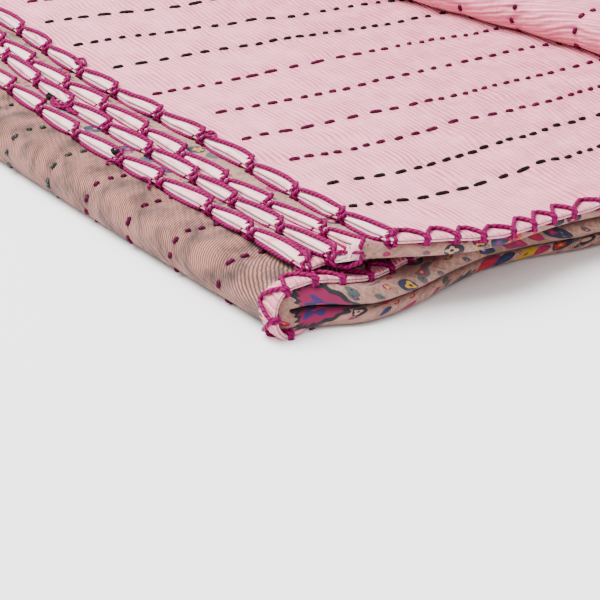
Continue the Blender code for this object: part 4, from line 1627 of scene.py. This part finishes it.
class EdgeSeam:
    """Overcasting along one edge: two threads that share their holes and cross on the rim."""

    def __init__(self, cloth: Cloth, side: str, sizes: Overcast, seed: int) -> None:
        self.cloth = cloth
        self.side = side
        self.sizes = sizes
        chance = np.random.default_rng(SEED + seed)
        if side in ("first", "last"):
            column = 0 if side == "first" else -1
            self.length = float(cloth.along[-1, column])
        else:
            self.length = float(cloth.across[-1])
        count = round(self.length / sizes.pitch)
        pitch = self.length / count
        self.nodes = np.arange(count + 1) * pitch
        self.nodes[1:-1] += chance.uniform(-0.09, 0.09, count - 1) * pitch
        self.holes = chance.uniform(*sizes.hole, count + 1)
        self.insets = chance.uniform(*sizes.inset, count + 1)
        self.loose = chance.uniform(0.0, 1.0, count + 1)

    def grid_place(self, along: np.ndarray, inset: np.ndarray) -> tuple[np.ndarray, np.ndarray]:
        """Turn distances along the edge and in from it into places on the grid."""
        c = self.cloth
        rows, columns = np.arange(c.pos.shape[0]), np.arange(c.pos.shape[1])
        inset = np.maximum(inset, 0)
        if self.side == "first":
            return np.interp(along, c.along[:, 0], rows), np.interp(inset, c.across, columns)
        if self.side == "last":
            column = np.interp(c.across[-1] - inset, c.across, columns)
            return np.interp(along, c.along[:, -1], rows), column
        column = np.interp(along, c.across, columns)
        row = []
        for one, depth in zip(column, inset):
            line = c.along[:, int(round(one))]
            wanted = depth if self.side == "left" else line[-1] - depth
            row.append(np.interp(wanted, line, rows))
        return np.array(row), column

    def points(self, along: np.ndarray, inset: np.ndarray, lift: np.ndarray) -> np.ndarray:
        """Place points by the edge; an inset below zero stands out past the rim."""
        i, j = self.grid_place(along, inset)
        base = self.cloth.at(i, j, lift)
        i_in, j_in = self.grid_place(along, np.full_like(inset, 1.5 * MM))
        i_rim, j_rim = self.grid_place(along, np.zeros_like(inset))
        flat = np.zeros_like(lift)
        out = self.cloth.at(i_rim, j_rim, flat) - self.cloth.at(i_in, j_in, flat)
        out /= np.linalg.norm(out, axis=1, keepdims=True)
        return base + out * np.maximum(-inset, 0)[:, None]

    def puffed(self, along: np.ndarray) -> np.ndarray:
        """Return how full the hem is: drawn in to 0 at each crossing, 1 between two."""
        k = np.clip(np.searchsorted(self.nodes, along) - 1, 0, len(self.nodes) - 2)
        share = (along - self.nodes[k]) / (self.nodes[k + 1] - self.nodes[k])
        return np.abs(np.sin(math.pi * np.clip(share, 0, 1))) ** 0.6

    def column_at(self, along: float) -> int:
        """Return the grid's column at a distance along a short edge."""
        return int(np.interp(along, self.cloth.across, np.arange(len(self.cloth.across))))

    def upper(self, along: float, sign: int) -> bool:
        """Tell whether a side of the cloth faces up where the sewn end shows its layers."""
        if self.side in ("first", "last"):
            return True
        normal = self.cloth.nrm[0 if self.side == "left" else -1, self.column_at(along)]
        return (sign > 0) == (normal[2] > 0)

    def thread(self, sign: int) -> np.ndarray:
        """Lay one of the two threads: long legs on one side, steep legs on the other."""
        path = []
        for k in range(len(self.nodes) - 1):
            path += self.bite(k, sign)
        spots = np.array(path)
        spots[:, 0] = np.clip(spots[:, 0], 0, self.length)
        return self.points(spots[:, 0], spots[:, 1], spots[:, 2])

    def leans_back(self, along: float) -> bool:
        """Tell whether an eye's hole lies by its first crossing, which is the front one."""
        if self.side in ("first", "last"):
            return True
        return self.cloth.spots[self.column_at(along)].layer in (0, 2)

    def bite(self, k: int, sign: int) -> list[tuple[float, float, float]]:
        """Lay one thread from one crossing to the next.

        Args:
            k: the number of the crossing that it starts at.
            sign: which side of the cloth its long leg lies on, 1 for the pink one.

        Returns:
            Distance along the edge, in from it and off the cloth's middle, for each point.
        """
        sizes = self.sizes
        radius = sizes.thickness / 2
        pitch = self.nodes[k + 1] - self.nodes[k]
        near, far = self.nodes[k], self.nodes[k + 1]
        ahead = self.leans_back((near + far) / 2)
        if not ahead:
            near, far = far, near
        lean = math.copysign(1.0, far - near)
        hole = near + lean * self.holes[k] * pitch
        middle = (near + far) / 2
        high = HEM_HALF + sizes.puff + 0.7 * radius + 0.3 * radius * (sign + 1) / 2
        steep_reach = self.insets[k] * (1.0 if self.upper(middle, -sign) else sizes.under_inset)
        long_reach = self.insets[k] * (1.0 if self.upper(middle, sign) else sizes.under_inset)
        path = [(near, -sizes.stand_off - 0.1 * MM, 0.0),
                (near + lean * sizes.slant, -sizes.stand_off, -sign * high * RIM_HEIGHT)]
        for share, height in STEEP_LEG:
            path.append((mix(near, hole, share), steep_reach * share, -sign * high * height))
        path.append((hole, long_reach, 0.0))
        for share, height in LONG_LEG:
            arc = math.cos(share * math.pi / 2) ** (0.8 + 0.3 * self.loose[k])
            bowed = mix(1 - share, arc, sizes.bow)
            sag = -(0.4 + 1.1 * math.sin(share * math.pi)) * radius
            inset = long_reach * bowed if long_reach else sag
            tall = high * height * (1.0 if long_reach else 0.72)
            path.append((mix(hole, far, share), inset, sign * tall))
        path.append((far - lean * sizes.slant, -sizes.stand_off, sign * high * RIM_HEIGHT))
        return path if ahead else path[::-1]

    def sew(self, group: bpy.types.NodeTree, finish: bpy.types.Material) -> bpy.types.Object:
        """Sew both threads along the edge."""
        lines = [self.thread(sign) for sign in (1, -1)]
        return sweep(f"overcast_{self.side}", lines, self.sizes.thickness, group, finish)

    def hem(self, finishes: list[bpy.types.Material]) -> bpy.types.Object:
        """Lay the puffed hem that the threads draw in at every crossing.

        Args:
            finishes: the face, the print and the hem's own finish.

        Returns:
            The finished mesh object.
        """
        count = round(self.length / self.sizes.hem_step)
        along = np.linspace(0.0, self.length, count)
        puff = self.puffed(along) * self.sizes.puff
        loops = []
        for inset, lift, swell, slit_shade in HEM_SECTION:
            out = np.where(inset < 1 * MM, puff * 0.8, 0.0)
            height = math.copysign(1.0, lift) * puff * swell + lift if lift else np.zeros(count)
            loops.append(self.points(along, inset - out * (0.4 if slit_shade else 1.0), height))
        points = np.concatenate(loops)
        lines = len(HEM_SECTION)
        faces = cells_of(np.arange(len(points)).reshape(lines, count))
        if self.side in ("left", "last"):
            faces = faces[:, ::-1]
        strip = np.repeat(np.arange(lines - 1), count - 1)
        kinds = np.where(strip < HEM_FACE_STRIPS, 0, np.where(strip < HEM_BACK_FROM, 2, 1))
        insets = np.repeat([max(line.inset, 0.0) for line in HEM_SECTION], count)
        i, j = self.grid_place(np.tile(along, lines), insets)
        share = (1 - np.clip((insets - 1.1 * MM) / (1.8 * MM), 0, 1)) * self.sizes.faded
        # The last value is the painted shade in the gap between the hem's folded edges.
        named = {"row": np.full(len(points), 0.5), "stitch": np.zeros(len(points)),
                 "hem": share, "slit_shade": np.repeat([line.slit_shade for line in HEM_SECTION], count)}
        return cloth_object(f"hem_{self.side}", points, faces, finishes, kinds,
                            self.cloth.between(self.cloth.flat(), i, j), named)


class Loose(NamedTuple):
    """A loose bit of thread: its middle behind the left front corner, reach and coils."""

    x: float
    depth: float
    z: float
    reach: float
    coils: float


@dataclass(frozen=True)
class LooseThreads:
    """Loose loops, thread ends and a small tangle beside the left rows of overcasting."""

    thickness: float = 0.85 * MM
    front: float = -160 * MM
    magenta: tuple[Loose, ...] = (
        Loose(37.0 * MM, 156.4 * MM, 18.5 * MM, 3.0 * MM, 1.1),
        Loose(35.6 * MM, 86.6 * MM, 18.1 * MM, 3.0 * MM, 1.1),
        Loose(22.6 * MM, 141.0 * MM, 13.5 * MM, 4.6 * MM, 4.3),
        Loose(22.8 * MM, 134.0 * MM, 13.5 * MM, 3.2 * MM, 3.2),
        Loose(13.0 * MM, 96.6 * MM, 11.4 * MM, 3.6 * MM, 0.4),
        Loose(12.4 * MM, 81.5 * MM, 11.4 * MM, 3.6 * MM, 0.45),
    )
    dark: tuple[Loose, ...] = (
        Loose(22.4 * MM, 146.0 * MM, 13.7 * MM, 2.6 * MM, 2.1),
        Loose(14.9 * MM, 99.6 * MM, 13.7 * MM, 1.3 * MM, 2.2),
    )

    def line(self, spot: Loose, left: float, chance: np.random.Generator) -> np.ndarray:
        """Coil one bit of thread round its middle, drawn out along the row."""
        share = np.linspace(0.0, 1.0, 16 + round(26 * spot.coils))
        turn = 2 * math.pi * (spot.coils * share + chance.uniform())
        reach = spot.reach * (0.7 + 0.3 * np.sin(5.1 * share + chance.uniform(0.0, 6.0)))
        x = left + spot.x + 0.55 * reach * np.cos(turn)
        y = self.front + spot.depth + reach * np.sin(turn) + spot.reach * (share - 0.5)
        z = spot.z + 0.35 * MM * (1 + np.sin(2.3 * turn))
        return np.stack([x, y, z], 1)

    def lay(self, group: bpy.types.NodeTree, left: float,
            finishes: dict[str, bpy.types.Material]) -> list[bpy.types.Object]:
        """Make the loose threads, one object for each colour."""
        chance = np.random.default_rng(SEED)
        objects = []
        for name, spots in (("magenta", self.magenta), ("dark", self.dark)):
            lines = [self.line(spot, left, chance) for spot in spots]
            objects.append(sweep(f"loose_thread_{name}", lines, self.thickness, group,
                                 finishes[name]))
        return objects


@dataclass(frozen=True)
class Studio:
    """Plain pale floor and soft light, and the camera at the photo's viewing angle."""

    camera_at: tuple[float, float, float] = (-0.5315, -0.6480, 0.2628)
    azimuth: float = -33.81
    elevation: float = 23.25
    lens: float = 168.0
    sensor: float = 36.0
    clip_start: float = 0.01
    lamp_at: tuple[float, float, float] = (-0.7, 0.5, 1.7)
    lamp_power: float = 122.0
    lamp_size: float = 1.6
    room_colour: str = "#FFFFFF"
    room_light: float = 1.25
    floor_colour: str = "#FAF8F8"
    floor_roughness: float = 0.85
    floor_size: float = 6.0

    def camera(self) -> None:
        """Stand the camera where the photo was taken from."""
        data = bpy.data.cameras.new("camera")
        data.lens = self.lens
        data.sensor_width = self.sensor
        data.clip_start = self.clip_start
        camera = bpy.data.objects.new("camera", data)
        bpy.context.scene.collection.objects.link(camera)
        turn, drop = math.radians(self.azimuth), math.radians(self.elevation)
        look = Vector((-math.sin(turn) * math.cos(drop), math.cos(turn) * math.cos(drop),
                       -math.sin(drop)))
        camera.location = self.camera_at
        camera.rotation_euler = look.to_track_quat("-Z", "Y").to_euler()
        bpy.context.scene.camera = camera

    def light(self) -> None:
        """Hang one wide soft lamp overhead and fill the room with even light."""
        lamp = bpy.data.lights.new("softbox", "AREA")
        lamp.energy = self.lamp_power
        lamp.size = self.lamp_size
        softbox = bpy.data.objects.new("softbox", lamp)
        softbox.location = self.lamp_at
        softbox.rotation_euler = (-softbox.location).to_track_quat("-Z", "Y").to_euler()
        bpy.context.scene.collection.objects.link(softbox)
        world = bpy.data.worlds.new("even light")
        world.use_nodes = True
        background = world.node_tree.nodes["Background"]
        background.inputs["Color"].default_value = linear(self.room_colour)
        background.inputs["Strength"].default_value = self.room_light
        bpy.context.scene.world = world

    def floor(self) -> None:
        """Lay the pale floor, matt and a little warm, as the photo's ground looks."""
        mesh = bpy.data.meshes.new("floor")
        half = self.floor_size / 2
        corners = [(-half, -half, 0.0), (half, -half, 0.0), (half, half, 0.0), (-half, half, 0.0)]
        mesh.from_pydata(corners, [], [(0, 1, 2, 3)])
        material, nodes = new_material("pale floor")
        finish_material(nodes, self.floor_colour, self.floor_roughness)
        mesh.materials.append(material)
        floor = show("floor", mesh)
        floor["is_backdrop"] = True


@dataclass(frozen=True)
class QuiltSewing:
    """All of the quilt's sewing, laid on the finished cloth."""

    stitch_thickness: float = 1.45 * MM
    top_rows: tuple[Stitching, ...] = (
        DARK, DARK, MAGENTA, MAGENTA, MAGENTA, MAGENTA, DARK, DARK, DARK, MAGENTA, GREY, DARK,
        MAGENTA, GREY)
    nose_rows: tuple[Stitching, ...] = (
        MAGENTA, MAGENTA, MAGENTA, MAGENTA, GREY, GREY, GREY, GREY, MAGENTA, GREY, DARK,
        MAGENTA, GREY, GREY)

    def run_stitches(self, rows: RowStitches, marks: dict[str, int], groups: ThreadGroups,
                     finishes: dict[Stitching, bpy.types.Material]) -> list[bpy.types.Object]:
        """Sew every row that shows, one object for each colour of thread."""
        last = rows.cloth.pos.shape[0] - 1
        runs = [(0, self.top_rows, 0, marks["top_hidden"] + 2),
                (0, self.top_rows, marks["flap_nose"] - 2, marks["middle"] + 2),
                (3, self.nose_rows, marks["left_nose"] - 4, last)]
        sewn = {kind: [] for kind in Stitching}
        for layer, kinds, first, end in runs:
            for number, kind in enumerate(kinds):
                part = rows.stitches(layer, number, first, end)
                if part is not None:
                    sewn[kind].append(part)
        objects = []
        for kind, parts in sewn.items():
            whole = {name: np.concatenate([part[name] for part in parts]) for name in parts[0]}
            mesh = bpy.data.meshes.new(f"running_stitch_{kind.value}")
            mesh.from_pydata(whole["middle"].tolist(), [], [])
            store(mesh, {name: whole[name] for name in ("heading", "upward", "length")})
            objects.append(grown(mesh, groups.stitches, {"Thickness": self.stitch_thickness,
                                                         "Material": finishes[kind]}))
        return objects

    @staticmethod
    def edges(cloth: Cloth) -> list[EdgeSeam]:
        """Plan the overcasting of the four edges."""
        sizes = {"left": SHORT_EDGE, "right": SHORT_EDGE, "first": LONG_EDGE, "last": LONG_EDGE}
        return [EdgeSeam(cloth, side, one, seed)
                for seed, (side, one) in enumerate(sizes.items())]


def write_size(key: str, sizes: dict) -> dict:
    low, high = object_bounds()
    sizes[key] = [list(low), list(high)]
    return sizes


def main() -> None:
    """Build the quilt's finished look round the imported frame."""
    logging.basicConfig(level=logging.INFO, format="%(message)s")
    for old in list(bpy.data.objects):
        bpy.data.objects.remove(old, do_unlink=True)
    studio = Studio()
    studio.camera()
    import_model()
    sizes = write_size("frame", {})
    studio.light()
    studio.floor()
    shape = FoldShape()
    path = FoldPath(shape, Fronts())
    cloth = Cloth(shape, path)
    LOG.info("cloth grid %s, %.3f m long, %.3f m across", cloth.pos.shape[:2],
             float(cloth.along[-1].mean()), float(cloth.across[-1]))
    rows = RowStitches(cloth, StitchSizes())
    face = FaceFinish(PINK).build()
    printed = PrintFinish(PRINTED, MOTIFS).build()
    plain = PlainFinish(TAUPE).build()
    hem = HemFinish().build()
    marks = path.marks
    panel = (marks["left_nose"] - PANEL_BEFORE_NOSE, marks["left_nose"] + PANEL_PAST_NOSE,
             rows.columns_of(3)[0])
    quilt = QuiltSheet(cloth, Hem()).build([face, printed, plain, hem], panel, rows.row,
                                           rows.stitch)
    LOG.info("%s: %d polygons", quilt.name, len(quilt.data.polygons))
    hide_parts("quilt")
    magenta = ThreadFinish("magenta thread", "#7A0149", "#36001E", "#98085F").build()
    dark = ThreadFinish("dark thread", "#0F100F", "#050505", "#2A2E2B").build()
    grey = ThreadFinish("grey green thread", "#4A534E", "#1E2321", "#7C8A82").build()
    groups = ThreadGroups()
    sewing = QuiltSewing()
    finishes = {DARK: dark, GREY: grey, MAGENTA: magenta}
    stitches = sewing.run_stitches(rows, marks, groups, finishes)
    edges = sewing.edges(cloth)
    seams = [edge.sew(groups.thread, magenta) for edge in edges]
    hems = [edge.hem([face, printed, hem if edge.sizes is SHORT_EDGE else face])
            for edge in edges]
    loose = LooseThreads().lay(groups.thread, shape.left, {"magenta": magenta, "dark": dark})
    seams += loose
    for piece in [quilt] + stitches + seams + hems:
        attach(piece, "root")
        LOG.info("%s: %d polygons", piece.name, len(piece.data.polygons))
    write_size("finished", sizes)


if __name__ == "__main__":
    main()
